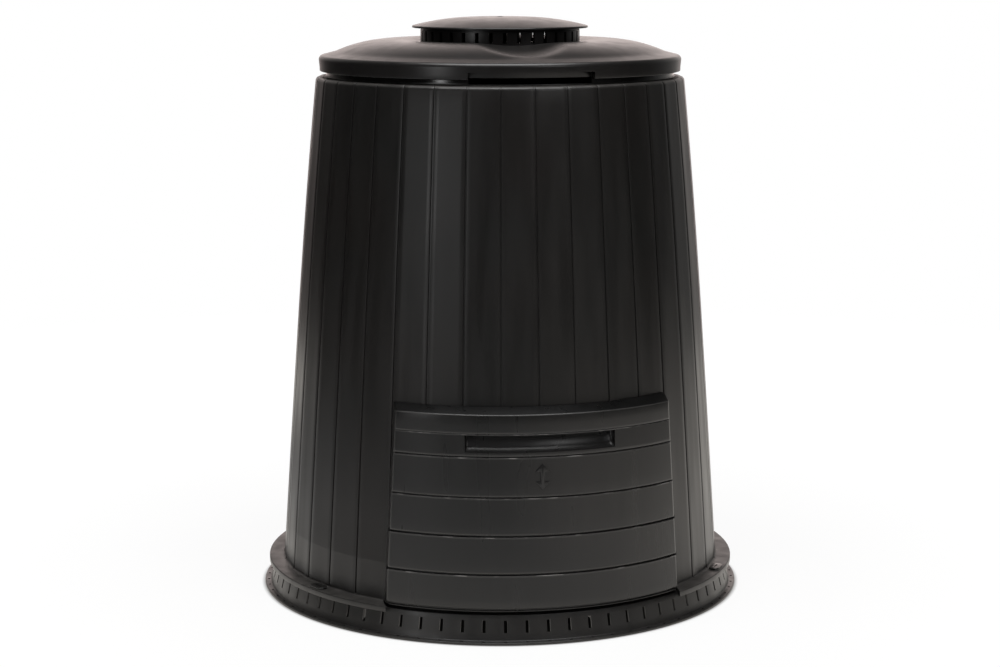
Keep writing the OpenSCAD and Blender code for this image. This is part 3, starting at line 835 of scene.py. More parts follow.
@dataclass
class PlankedBody:
    """The tapering body of moulded planks, with its ledge, neck and hatch rails. Sizes in millimetres.

    Attributes:
        opening: Half width, foot, top and corner rounding of the loading opening.
        opening_reach: How far outside and inside the foot's radius its cut begins and ends.
        bay_half: Half width of the break in the ledge.
        bay_margins: Room that its cut leaves inside, outside, below and above the ledge.
        row_shares: Shares of the planks' length at which the section has a row. Three that lie close
            together carry the mould line.
        inner_shares: Shares of the inside's height at which the section has a row, downwards.
        mould_line_arc: Degrees from the front between which the mould line shows.
        rail_middle: How far to the side the rails' front faces keep their distance from the boards.
        rail_lip: Width and thickness of the lip that the hatch's hooks hold.
        rail_stop: Width, foot and top of the stop below each rail.
    """

    foot: float = 46.0
    height: float = 858.0
    foot_radius: float = 390.5
    shoulder_radius: float = 322.0
    draw_in: float = 8.5
    draw_in_power: float = 3.5
    planks: int = 37
    groove: float = 3.0
    groove_depth: float = 2.0
    plank_edge: float = 0.9
    plank_end: float = 7.0
    wall: float = 4.5
    row_shares: tuple[float, ...] = (0.03, 0.0705, 0.0722, 0.0739, 0.16, 0.26, 0.37, 0.48, 0.58, 0.68,
                                     0.77, 0.85, 0.92, 0.97, 1.0)
    inner_shares: tuple[float, ...] = (0.85, 0.65, 0.45, 0.25, 0.08)
    ledge_radius: float = 416.5
    ledge_top: float = 51.0
    ledge_low: float = 41.0
    ledge_inside: float = 405.5
    ledge_fillet: float = 3.5
    neck_radius: float = 304.0
    neck_wall: float = 3.5
    neck_top: float = 932.0
    neck_fillet: float = 5.0
    shoulder_fillet: float = 8.0
    recess_angle: float = 19.7
    recess_depth: float = 12.0
    recess_rise: float = 2.0
    opening: Range = (172.0, 66.0, 300.0, 18.0)
    opening_reach: tuple[float, float] = (30.0, 80.0)
    bay_half: float = 251.0
    bay_margins: Range = (0.2, 2.0, 1.0, 5.5)
    mould_line: float = 115.3
    mould_line_relief: float = 0.12
    mould_line_arc: tuple[float, float] = (-80.0, -37.0)
    rail_lean: float = 4.0
    rail_middle: float = 195.0
    rail_stand_off: float = 9.5
    rail_inside: float = 193.0
    rail_web: float = 4.0
    rail_depth: float = 13.0
    rail_span: tuple[float, float] = (62.0, 330.0)
    rail_lip: tuple[float, float] = (10.0, 3.0)
    rail_stop: tuple[float, float, float] = (13.5, 54.0, 61.7)
    rail_gap: float = 3.5

    @property
    def shoulder(self) -> float:
        """Height of the shoulder."""
        return self.foot + self.height

    @property
    def rail_face(self) -> float:
        """How far the front faces of the rails stand in front of the axis."""
        return math.sqrt((self.foot_radius + self.rail_stand_off) ** 2 - self.rail_middle ** 2)

    @property
    def rail_tilt(self) -> Matrix:
        """Leans the rails and what runs on them with the body."""
        return Matrix.Rotation(math.radians(-self.rail_lean), 4, "X")

    def radius(self, z: float) -> float:
        """Outer radius over the planks' edges.

        Args:
            z: A height.

        Returns:
            The radius there.
        """
        share = (z - self.foot) / self.height
        cone = (self.foot_radius - self.shoulder_radius - self.draw_in) * share
        return self.foot_radius - cone - self.draw_in * max(share, 0.0) ** self.draw_in_power

    def plank_points(self, radius: float, form: float) -> list[tuple[float, float]]:
        """Points across one plank.

        Args:
            radius: Radius over the plank's edges.
            form: 0 is a plain round wall, 1 a flat plank between two grooves.

        Returns:
            Points (across, out) from one groove's middle to the next one's.
        """
        half_angle = math.pi / self.planks
        half, out = radius * math.sin(half_angle), radius * math.cos(half_angle)
        brink, edge = half - self.groove / 2.0, self.plank_edge
        bend = edge * (1.0 - math.sqrt(0.5))
        floor = out - self.groove_depth
        flat = [(0.0, out), (0.35 * brink, out), (0.7 * brink, out), (brink - edge, out),
                (brink - bend, out - bend), (brink, out - edge), (brink, floor), (half * floor / out, floor)]
        points = []
        for across, depth in flat:
            turn = math.atan2(across, depth)
            points.append((form * across + (1.0 - form) * radius * math.sin(turn),
                           form * depth + (1.0 - form) * radius * math.cos(turn)))
        return [(-a, d) for a, d in reversed(points[1:])] + points

    def foot_rows(self) -> list[Corner]:
        """The rows of the ledge and of the fillet above it.

        Returns:
            Rows (radius, height, form), from the inside out.
        """
        inside = self.radius(self.foot) - self.wall
        ledge = rounded([
            (inside, self.foot, 0.0), (self.ledge_inside, self.foot, 1.0),
            (self.ledge_inside, self.ledge_low, 0.6), (self.ledge_radius, self.ledge_low, 1.2),
            (self.ledge_radius, self.ledge_top, 1.6),
            (self.foot_radius + self.ledge_fillet, self.ledge_top, 0.0)], 3)
        rows = [(r, z, 0.0) for r, z in ledge]
        steps = 4
        for step in range(1, steps + 1):
            turn = QUARTER_TURN * step / steps
            z = self.ledge_top + self.ledge_fillet * (1.0 - math.cos(turn))
            rows.append((self.radius(z) + self.ledge_fillet * (1.0 - math.sin(turn)), z, step / steps))
        return rows

    def plank_rows(self) -> list[Corner]:
        """The rows up the planks and over their rounded ends.

        Returns:
            Rows (radius, height, form), from the foot up.
        """
        low, high = self.ledge_top + self.ledge_fillet, self.shoulder - self.plank_end
        heights = [low + (high - low) * share for share in self.row_shares]
        rows = [(self.radius(z), z, 1.0) for z in heights]
        steps = 6
        for step in range(1, steps + 1):
            turn = QUARTER_TURN * step / steps
            z = high + self.plank_end * math.sin(turn)
            rows.append((self.radius(z) - self.plank_end * (1.0 - math.cos(turn)), z, 1.0))
        return rows

    def inner_rows(self) -> list[Corner]:
        """The rows of the neck and down the inside of the wall.

        Returns:
            Rows (radius, height, form), from the shoulder inwards.
        """
        inside, ceiling = self.neck_radius - self.neck_wall, self.shoulder - self.wall
        cavity_top = self.radius(ceiling) - self.wall
        neck = rounded([
            (self.neck_radius + self.neck_fillet, self.shoulder, 0.0), (self.neck_radius, self.shoulder, 2.0),
            (self.neck_radius, self.neck_top, 1.2), (inside, self.neck_top, 1.2), (inside, ceiling, 0.0),
            (cavity_top - self.shoulder_fillet, ceiling, 0.0),
            (cavity_top, ceiling - self.shoulder_fillet, 0.0)], 4)
        rows = [(r, z, 0.0) for r, z in neck]
        heights = [self.foot + (ceiling - self.foot) * share for share in self.inner_shares]
        return rows + [(self.radius(z) - self.wall, z, 0.0) for z in heights]

    def shell(self) -> Shape:
        """The body before anything is cut out of it.

        Returns:
            The closed shell.
        """
        rows = self.foot_rows() + self.plank_rows() + self.inner_rows()
        rows.append(rows[0])
        sections = [self.plank_points(radius, form) for radius, _, form in rows]
        middle = FRONT + math.pi / self.planks
        out, across = polar(1.0, middle), polar(1.0, middle + QUARTER_TURN)

        def place(column: int, row: int) -> Vector:
            """The point of the first plank at a column and a row."""
            side, depth = sections[row][column]
            return across * side + out * depth + AXIS * rows[row][1]

        sector = woven(len(sections[0]), len(rows), place)
        weld(sector, WELD / 10.0)
        return repeated(sector, self.planks)

    def opening_tool(self) -> Shape:
        """The loading opening, with round corners.

        Returns:
            The shape to cut away.
        """
        half, low, high, corner = self.opening
        outer, inner = self.opening_reach
        tool = block((-half, -self.foot_radius - outer, low), (half, -self.foot_radius + inner, high))
        corners = [edge for edge in tool.edges if abs(edge.verts[0].co.y - edge.verts[1].co.y) > 1.0]
        ease(tool, corners, corner, 8)
        return tool

    def bay_tool(self) -> Shape:
        """The break in the ledge, where the hatch stands in front of it.

        Returns:
            The shape to cut away.
        """
        inner, outer, below, above = self.bay_margins
        section = ring_section(self.foot_radius + inner, self.ledge_radius + outer, self.ledge_low - below,
                               self.ledge_top + above)
        ring = turned(section, 90, math.radians(100.0), FRONT)
        front_half = block((-self.bay_half, -500.0, 0.0), (self.bay_half, 0.0, 100.0))
        return combined(ring, front_half, "INTERSECT")

    def recess_tool(self) -> Shape:
        """The finger recess in the front of the neck.

        Returns:
            The shape to cut away.
        """
        section = ring_section(self.neck_radius - self.recess_depth, self.shoulder_radius,
                               self.shoulder + self.recess_rise, self.neck_top + 1.0)
        return turned(section, 40, math.radians(2.0 * self.recess_angle), FRONT)

    def raise_mould_line(self, bm: Shape) -> None:
        """Raises the faint line that the mould leaves low on the planks beside the hatch.

        Args:
            bm: The body.
        """
        left, right = self.mould_line_arc
        for vert in bm.verts:
            x, y, z = vert.co
            r = math.hypot(x, y)
            on_line = abs(z - self.mould_line) < 0.5 and r > self.radius(z) - self.wall + 2.0
            if on_line and left < math.degrees(math.atan2(x, -y)) < right:
                vert.co.x *= (r + self.mould_line_relief) / r
                vert.co.y *= (r + self.mould_line_relief) / r

    def rails(self) -> Shape:
        """The two leaning rails that the hatch slides on, each with a stop at its foot.

        Returns:
            Both rails.
        """
        inside, face, back = self.rail_inside, -self.rail_face, -self.rail_face + self.rail_depth
        low, high = self.rail_span
        lip_width, lip_thickness = self.rail_lip
        stop_width, stop_low, stop_high = self.rail_stop
        web = ((inside, face, low), (inside + self.rail_web, back, high))
        lip = ((inside, face, low), (inside + lip_width, face + lip_thickness, high))
        stop = ((inside, face + self.rail_gap, stop_low), (inside + stop_width, back, stop_high))
        return paired_blocks((web, lip, stop), 0.6, self.rail_tilt)

    def build(self) -> None:
        """Builds the body and its rails."""
        shell = self.shell()
        shell = combined(shell, gathered(self.opening_tool(), self.bay_tool(), self.recess_tool()))
        self.raise_mould_line(shell)
        Piece("planked_body", Body.BIN, "body_black", Finish.BODY, ("body_shell",)).place(shell)
        Piece("hatch_rails", Body.BIN, "body_black", Finish.BODY).place(self.rails(), welded=False)


# ------------------------------------------------------------------ hatch


@dataclass
class SlidingHatch:
    """The loading hatch of six lapped boards with a hand slot. Sizes in millimetres.

    Attributes:
        body: The body that it slides on.
        boards: Heights of the boards, from the foot up.
        stand_off: How far the face stands out from the body at the foot and at the top.
        gaps: Heights of the dark gaps between the boards.
        gap_depths: Their depths.
        chin: How far the foot of an upper board is set in, and the height over which it comes out.
        lean: How far the top of a board is set in.
        brow: Height over which it is set in.
        lip: Set-back and height of the shadow gap along the foot.
        bead: Set-back, height and depth behind the lip of the bead below it.
        bead_ends: How much shorter than the hatch's foot it is at each end.
        top_back: How far inside the body and how far down the section ends behind the top.
        painted_glint_band: Height of the painted glints on the top edge of a board, below a gap.
        lit_band: Height of the painted highlight on the foot of the board above the gap.
        top_band: Height of the painted highlight on the front edge of the top.
        painted_shade_depth: How far behind the face the painted shade on the top begins.
        mark_depth: How far behind the face the painted glints and painted highlights reach.
        slot: Half width, foot, top and depth of the hand slot.
        slot_bend: Width over which the hand slot runs out at its ends.
        slot_pitch: Distance between columns of the face over the hand slot.
        runner_web: How far to the side a runner's web begins and ends.
        runner_lap: How far its web reaches before the rail's face.
        root_reach: How far the roots reach before it.
        runner_hook: How far to the side its hook begins.
        runner_grip: How far behind the rail's face the hook begins and ends.
        runner_span: Foot and top of the runners.
        runner_roots: Feet and tops of the roots that join a runner to the face.
        arrow: Half widths of the arrow's shaft and heads, and how far up they begin and end.
        arrow_lean: Degrees by which it leans with the face.
    """

    body: PlankedBody
    low: float = 57.5
    boards: tuple[float, ...] = (58.5, 64.0, 64.0, 67.0, 37.0, 31.0)
    half_low: float = 249.0
    half_high: float = 229.0
    stand_off: tuple[float, float] = (19.5, 30.0)
    gaps: tuple[float, ...] = (3.6, 3.6, 2.8, 2.6, 1.2)
    gap_depths: tuple[float, ...] = (6.0, 6.0, 5.0, 4.0, 1.8)
    chin: tuple[float, float] = (0.9, 2.4)
    lean: float = 0.8
    brow: float = 3.2
    lip: tuple[float, float] = (3.5, 5.0)
    bead: tuple[float, float, float] = (0.9, 1.7, 1.5)
    bead_ends: float = 4.0
    top_rise: float = 8.0
    top_back: tuple[float, float] = (30.0, 60.0)
    side_rounding: float = 3.5
    wall: float = 3.0
    back_gap: float = 1.2
    row_pitch: float = 14.0
    # Bands of painted glints and painted highlights, and where the painted shade begins.
    painted_glint_band: float = 0.9
    lit_band: float = 0.7
    top_band: float = 1.2
    painted_shade_depth: float = 1.2
    mark_depth: float = 2.1
    slot: Range = (125.0, 317.0, 345.0, 16.0)
    slot_bend: float = 8.0
    slot_pitch: float = 13.0
    runner_web: tuple[float, float] = (203.5, 206.5)
    runner_lap: float = 0.8
    root_reach: float = 7.0
    runner_hook: float = 197.5
    runner_grip: tuple[float, float] = (3.5, 6.5)
    runner_span: tuple[float, float] = (62.0, 170.0)
    runner_roots: tuple[tuple[float, float], ...] = ((62.0, 84.5), (94.0, 148.5), (158.5, 170.0))
    arrow: Range = (3.4, 12.0, 8.0, 21.0)
    arrow_middle: float = 277.0
    arrow_relief: float = 2.2
    arrow_lean: float = 3.2

    @property
    def high(self) -> float:
        """Height of the front edge of the hatch's top."""
        return self.low + sum(self.boards)

    def radius(self, z: float) -> float:
        """Radius of the hatch's leaning face.

        Args:
            z: A height.

        Returns:
            The radius there.
        """
        first = self.body.radius(self.low) + self.stand_off[0]
        last = self.body.radius(self.high) + self.stand_off[1]
        return first + (last - first) * (z - self.low) / (self.high - self.low)

    def half_width(self, z: float) -> float:
        """Half width of the hatch at a height."""
        share = (z - self.low + self.lip[1]) / (self.high + self.top_rise - self.low + self.lip[1])
        return self.half_low + (self.half_high - self.half_low) * share

    def corners(self) -> list[Corner]:
        """The corners of the section, up the face and over the top.

        Returns:
            Points (radius, height, reach of the rounding).
        """
        inset, lip_height = self.lip
        first = self.radius(self.low)
        corners = [(first - inset - self.wall, self.low - lip_height, 0.0),
                   (first - inset, self.low - lip_height, 1.0), (first - inset, self.low - 0.6, 0.8),
                   (first, self.low, 1.3)]
        z = self.low
        set_in, rise = self.chin
        for height, gap, depth in zip(self.boards, self.gaps, self.gap_depths):
            z += height
            low = z - gap
            floor = self.radius(z) - depth
            corners += [(self.radius(low - self.brow) - self.lean, low - self.brow, 0.0),
                        (self.radius(low) - self.lean, low, 1.1), (floor, low + 0.4, 0.3),
                        (floor, z - 0.2, 0.3), (self.radius(z) - set_in, z, 0.5),
                        (self.radius(z + rise), z + rise, 1.0)]
        back = self.high + self.top_rise
        inwards, down = self.top_back
        corners += [(self.radius(self.high), self.high, 1.8),
                    (self.body.radius(back) + self.back_gap, back, 0.0),
                    (self.body.radius(back) - inwards, back - down, 0.0)]
        return corners

    def face_rows(self) -> list[Range]:
        """The rows up the face and over the top, with the hand slot's.

        Returns:
            Rows (radius, height, depth share of the hand slot, inset).
        """
        rows = []
        for r, z in rounded(self.corners(), 4)[:-1]:
            base = self.radius(z) if self.low <= z <= self.high - 4.0 else r
            rows.append((base, z, 0.0, base - r))
        _, slot_low, slot_high, _ = self.slot
        before = [row for row in rows if row[1] < slot_low]
        after = [row for row in rows if row[1] > slot_high]
        low_edge, high_edge = before[-1], after[0]

        def face_at(z: float, slot_share: float) -> Range:
            """The row at a height of the hand slot, and its depth share there."""
            share = (z - low_edge[1]) / (high_edge[1] - low_edge[1])
            return (self.radius(z), z, slot_share, low_edge[3] + (high_edge[3] - low_edge[3]) * share)

        middle = []
        steps = 8
        for step in range(steps + 1):
            turn = QUARTER_TURN * step / steps
            middle.append(face_at(slot_high - (slot_high - slot_low) * math.cos(turn), math.sin(turn)))
        middle += [face_at(slot_high, 0.35), face_at(slot_high, 0.0)]
        return self.divided(before) + middle + self.divided(after)

    def divided(self, rows: list[Range]) -> list[Range]:
        """Puts rows between those that lie far apart.

        Args:
            rows: The rows, from the foot up.

        Returns:
            The same rows, with those between them.
        """
        result = rows[:1]
        for last, row in zip(rows, rows[1:]):
            pieces = max(1, round(abs(row[1] - last[1]) / self.row_pitch))
            for part in range(1, pieces + 1):
                result.append(tuple(a + (b - a) * part / pieces for a, b in zip(last, row)))
        return result

    def columns(self) -> list[Range]:
        """The columns of the face to one side of its middle.

        Returns:
            Columns (fixed x, share of the rest, setback share, hand slot share).
        """
        half = self.slot[0]
        columns = [(self.slot_pitch * step, 0.0, 0.0, 1.0) for step in range(9)]
        steps, rest = 5, 8
        for step in range(steps + 1):
            turn = QUARTER_TURN * step / steps
            x = half - self.slot_bend * (1.0 - math.sin(turn))
            columns.append((x, 0.0, 0.0, math.cos(turn)))
        columns += [(half, step / rest, 0.0, 0.0) for step in range(1, rest + 1)]
        columns += [(half, 1.0, step / steps, 0.0) for step in range(1, steps + 1)]
        return columns

    def surface(self) -> Shape:
        """The face, the sloping top and the two sides, in one open skin.

        Returns:
            The skin, without thickness.
        """
        rows = self.face_rows()
        right = self.columns()
        last = len(right)
        depth = self.slot[3]

        def place(column: int, row: int) -> Vector:
            """The point of the skin at a column and a row.

            Args:
                column: Number of the column, from the left.
                row: Number of the row, from the foot.

            Returns:
                The point.
            """
            r, z, slot_share, inset = rows[row]
            index = column - last
            side = math.copysign(1.0, index)
            half = self.half_width(z)
            back = self.body.radius(z) + self.back_gap
            if abs(index) >= last:
                return Vector((side * half, -math.sqrt(max(back * back - half * half, 0.0)), z))
            fixed, share, bend, pocket = right[abs(index)]
            turn = QUARTER_TURN * bend
            brink = half - self.side_rounding
            x = fixed + (brink - fixed) * share if share else fixed
            x += self.side_rounding * math.sin(turn)
            face = r - inset * (1.0 - bend) - depth * slot_share * pocket
            y = -math.sqrt(face * face - x * x) + self.side_rounding * (1.0 - math.cos(turn))
            limit = -math.sqrt(max(back * back - x * x, 0.0))
            return Vector((side * x, min(y, limit), z))

        return woven(2 * last + 1, len(rows), place)

    def skin(self) -> Shape:
        """The surface given its wall.

        Returns:
            The closed skin, with its edges marked.
        """
        surface = self.surface()
        weld(surface)
        bmesh.ops.dissolve_degenerate(surface, dist=WELD / 2.0, edges=surface.edges)
        bmesh.ops.recalc_face_normals(surface, faces=surface.faces)
        front = max(surface.faces, key=lambda face: face.calc_area())
        if front.normal.y > 0.0:
            bmesh.ops.reverse_faces(surface, faces=surface.faces)
        bmesh.ops.solidify(surface, geom=surface.faces[:], thickness=self.wall)
        self.paint_edge_light(surface)
        return surface

    def paint_edge_light(self, bm: Shape) -> None:
        """Marks where board edges get painted glints or a painted highlight line, and where the top gets
        painted shade.

        Args:
            bm: The skin.
        """
        layer = bm.verts.layers.float.new(PAINTED_LIGHT_MARK)
        slack = 0.05
        # A painted highlight along the front edge of the top.
        bands = [(self.high - self.top_band, self.high - slack, LIT)]
        z = self.low
        for height, gap in zip(self.boards, self.gaps):
            z += height
            # Painted glints on a board's top edge below each gap, and a painted highlight on the foot of the
            # board above it.
            bands.append((z - gap - self.painted_glint_band, z - gap + slack, PAINTED_GLINT))
            bands.append((z - slack, z + self.lit_band, LIT))
        for vert in bm.verts:
            x, y, z = vert.co
            depth = self.radius(z) - math.hypot(x, y)
            on_top = self.high - slack < z < self.high + self.top_rise + slack
            # Painted shade on the sloping top, behind its front edge.
            if on_top and depth > self.painted_shade_depth:
                vert[layer] = PAINTED_SHADE
            elif depth < self.mark_depth:
                vert[layer] = max((mark for low, high, mark in bands if low < z < high), default=0.0)

    def runners(self) -> Shape:
        """The hooks on the hatch's back that hold it to the rails.

        Returns:
            Both runners.
        """
        face = -self.body.rail_face
        inside, outside = self.runner_web
        front, back = (face + grip for grip in self.runner_grip)
        low, high = self.runner_span
        web = ((inside, face - self.runner_lap, low), (outside, back, high))
        hook = ((self.runner_hook, front, low), (outside, back, high))
        root = face - self.root_reach
        roots = [((inside, root, foot), (outside, face, top)) for foot, top in self.runner_roots]
        return paired_blocks((web, hook, *roots), 0.5, self.body.rail_tilt)

    def sill_bead(self) -> Shape:
        """The thin bead along the foot of the hatch, below the shadow gap.

        Returns:
            The closed bead.
        """
        first, low = self.radius(self.low), self.low - self.lip[1]
        set_in, height, root = self.bead
        front, back, high = first - set_in, first - self.lip[0] - root, low + height
        outline = rounded([(back, low, 0.0), (front, low, 0.6), (front, high, 0.6), (back, high, 0.0)], 3)
        reach = math.asin((self.half_low - self.bead_ends) / front)
        steps = 60
        bm = swept(outline, [FRONT + reach * (2.0 * step / steps - 1.0) for step in range(steps + 1)])
        bmesh.ops.holes_fill(bm, edges=[edge for edge in bm.edges if edge.is_boundary], sides=0)
        bmesh.ops.recalc_face_normals(bm, faces=bm.faces)
        return bm

    def arrow_sign(self) -> Shape:
        """A plain up-and-down arrow, moulded slightly proud of the fourth board.

        Returns:
            The arrow.
        """
        shaft, head, neck, tip = self.arrow
        half = [(-shaft, neck), (-head, neck), (0.0, tip), (head, neck), (shaft, neck)]
        outline = [(-shaft, 0.0), *half, (shaft, 0.0), *((-x, -z) for x, z in half)]
        bm = bmesh.new()
        face = bm.faces.new([bm.verts.new((x, 0.0, z)) for x, z in outline])
        raised = bmesh.ops.extrude_face_region(bm, geom=[face])["geom"]
        top = [item for item in raised if isinstance(item, bmesh.types.BMVert)]
        bmesh.ops.translate(bm, verts=top, vec=Vector((0.0, -self.arrow_relief, 0.0)))
        ease(bm, [edge for edge in bm.edges if all(vert in top for vert in edge.verts)], 0.4, 2)
        lean = Matrix.Rotation(math.radians(-self.arrow_lean), 4, "X")
        seat = Matrix.Translation((0.0, 1.0 - self.radius(self.arrow_middle), self.arrow_middle))
        bmesh.ops.transform(bm, matrix=seat @ lean, verts=bm.verts)
        return bm

    def build(self) -> None:
        """Builds the hatch, its runners, its bead and its sign."""
        louvred = Piece("louvred_hatch", Body.HATCH, "hatch_black", Finish.HATCH, ("hatch_panel",), 40.0)
        louvred.place(self.skin())
        Piece("hatch_runners", Body.HATCH, "hatch_black", Finish.HATCH).place(self.runners(), welded=False)
        Piece("hatch_bead", Body.HATCH, "hatch_black", Finish.HATCH).place(self.sill_bead())
        Piece("hatch_arrow", Body.HATCH, "hatch_black", Finish.HATCH).place(self.arrow_sign())


# ------------------------------------------------------------------ base


@dataclass
class SlottedBase:
    """The base plate with its ring of air slots. Sizes in millimetres.

    Attributes:
        flange: Thickness of the foot flange.
        notch: How far outside the foot's radius the run-off notches begin and end.
        slot_turn: Degrees by which the slots stand round from the right.
        deck_seam: Radius at which the deck meets the rim.
    """

    height: float = 46.0
    deck_radius: float = 404.0
    foot_radius: float = 415.0
    flange_radius: float = 425.0
    flange: float = 4.5
    notch: tuple[float, float] = (1.8, 5.6)
    wall: float = 3.0
    slots: int = 72
    slot_width: float = 5.6
    slot_low: float = 17.0
    slot_high: float = 37.0
    slot_turn: float = 1.3
    deck_seam: float = 399.0

    def slope(self, z: float, inner: bool = False) -> float:
        """Radius of the leaning wall.

        Args:
            z: A height.
            inner: Whether the inside is meant.

        Returns:
            The radius there.
        """
        wall = self.wall if inner else 0.0
        outside = self.foot_radius + (self.deck_radius - self.foot_radius) * z / (self.height - wall)
        return outside - wall

    def outline(self) -> Outline:
        """The section of the rim, with rows where the slots and the notches begin and end.

        Returns:
            Its points.
        """
        under = self.height - self.wall
        near, far = (self.foot_radius + reach for reach in self.notch)
        return rounded([
            (self.deck_seam, self.height, 0.0), (self.deck_radius, self.height, 1.5),
            (self.slope(self.slot_high), self.slot_high, 0.0),
            (self.slope(self.slot_low), self.slot_low, 0.0),
            (self.slope(self.flange), self.flange, 1.4), (near, self.flange, 0.0), (far, self.flange, 0.0),
            (self.flange_radius, self.flange, 1.3), (self.flange_radius, 0.0, 0.8), (far, 0.0, 0.0),
            (near, 0.0, 0.0), (self.foot_radius - self.wall, 0.0, 0.0),
            (self.slope(self.slot_low, True), self.slot_low, 0.0),
            (self.slope(self.slot_high, True), self.slot_high, 0.0),
            (self.deck_radius - self.wall, under, 0.0), (self.deck_seam, under, 0.0)], 3)

    def in_air_slot(self, r: float, z: float) -> bool:
        """Whether a point lies in an air slot of the wall."""
        return self.slot_low < z < self.slot_high and r < self.foot_radius

    def in_notch(self, r: float, z: float) -> bool:
        """Whether a point lies in the run-off notch of the flange, below an air slot."""
        near, far = self.notch
        return near < r - self.foot_radius < far and z < self.flange + 1.0

    def rim(self) -> Shape:
        """The slotted wall and its foot flange, all round.

        Returns:
            The ring, with the inside of its wall marked for painted shade.
        """
        half = self.slot_width / 2.0 / self.foot_radius
        edge = math.pi / self.slots
        angles = (-edge, -edge * 0.55, -half, half, edge * 0.55, edge)
        slots = (self.in_air_slot, self.in_notch)
        sector = slotted_sector(self.outline(), angles, math.radians(self.slot_turn), slots)
        ring = repeated(sector, self.slots)
        # Painted shade on the inside of the wall, up to the slots' tops, darkens what shows through the
        # slots.
        layer = ring.verts.layers.float.new(PAINTED_LIGHT_MARK)
        for vert in ring.verts:
            x, y, z = vert.co
            if math.hypot(x, y) < self.slope(z) - 1.0 and z < self.slot_high + 1.0:
                vert[layer] = PAINTED_SHADE
        return ring

    def deck(self) -> Shape:
        """The deck with its drain slots and ribs, inside the rim.

        Returns:
            The deck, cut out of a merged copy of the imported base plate.
        """
        bm = bmesh.new()
        bm.from_mesh(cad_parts["base_plate"].data)
        bmesh.ops.scale(bm, verts=bm.verts, vec=Vector((1.0 / MM,) * 3))
        weld(bm, WELD / 5.0)
        inside = turned(ring_section(0.0, self.deck_seam + 0.5, -5.0, 60.0), 144)
        return combined(bm, inside, "INTERSECT")

    def build(self) -> None:
        """Builds the rim and the deck."""
        Piece("base_rim", Body.BIN, "base_black", Finish.BASE, ("base_plate",)).place(self.rim())
        Piece("base_deck", Body.BIN, "base_black", Finish.BASE, (), 25.0).place(self.deck(), welded=False)


@dataclass
class TurnClips:
    """The turn clips that hold the body's ledge down on the base. Sizes in millimetres.

    Attributes:
        angles: Degrees round from the front at which they stand.
        radius: Distance of their shanks from the axis.
        button_radius: Distance of their buttons from the axis.
        low: Height of the buttons' undersides.
        button: Width, length and thickness of a button.
        coin_slot: Half width, half length and depth of the slot in its top.
        shank: Radius and foot of a shank.
    """

    angles: tuple[float, ...] = (60.0, 120.0, 180.0, 240.0, 300.0)
    radius: float = 396.5
    button_radius: float = 403.5
    low: float = 51.3
    button: tuple[float, float, float] = (19.0, 36.0, 3.0)
    rim_rounding: float = 0.9
    coin_slot: tuple[float, float, float] = (1.4, 8.5, 1.3)
    shank: tuple[float, float] = (3.0, 35.0)

    def clip(self, angle: float) -> Shape:
        """One turn clip: a rounded button with a coin slot, on a shank.

        Args:
            angle: Degrees round from the front.

        Returns:
            The clip, in its place.
        """
        width, length, thickness = self.button
        high = self.low + thickness
        button = block((-width / 2.0, -length / 2.0, self.low), (width / 2.0, length / 2.0, high))
        uprights = [edge for edge in button.edges if abs(edge.verts[0].co.z - edge.verts[1].co.z) > 1.0]
        ease(button, uprights, width / 2.0 - 0.05, 10)
        rim = [edge for edge in button.edges
               if all(vert.co.z > high - WELD for vert in edge.verts) and edge.calc_face_angle(0.0) > 1.0]
        ease(button, rim, self.rim_rounding, 3)
        slot_half, slot_reach, slot_depth = self.coin_slot
        slot = block((-slot_half, -slot_reach, high - slot_depth), (slot_half, slot_reach, high + 1.0))
        button = combined(button, slot)
        bmesh.ops.translate(button, verts=button.verts, vec=Vector((self.button_radius, 0.0, 0.0)))
        shank_radius, shank_foot = self.shank
        shank = rod(shank_radius, shank_foot, self.low + 1.0, Vector((self.radius, 0.0, 0.0)), 0.5)
        clip = gathered(button, shank)
        turn = Matrix.Rotation(math.radians(angle - 90.0), 3, "Z")
        bmesh.ops.rotate(clip, verts=clip.verts, cent=ORIGIN, matrix=turn)
        return clip

    def build(self) -> None:
        """Builds the clips."""
        clips = gathered(*(self.clip(angle) for angle in self.angles))
        Piece("turn_clips", Body.BIN, "clip_black", Finish.CLIP, ("base_clips",)).place(clips, welded=False)


# ------------------------------------------------------------------ lid and vent


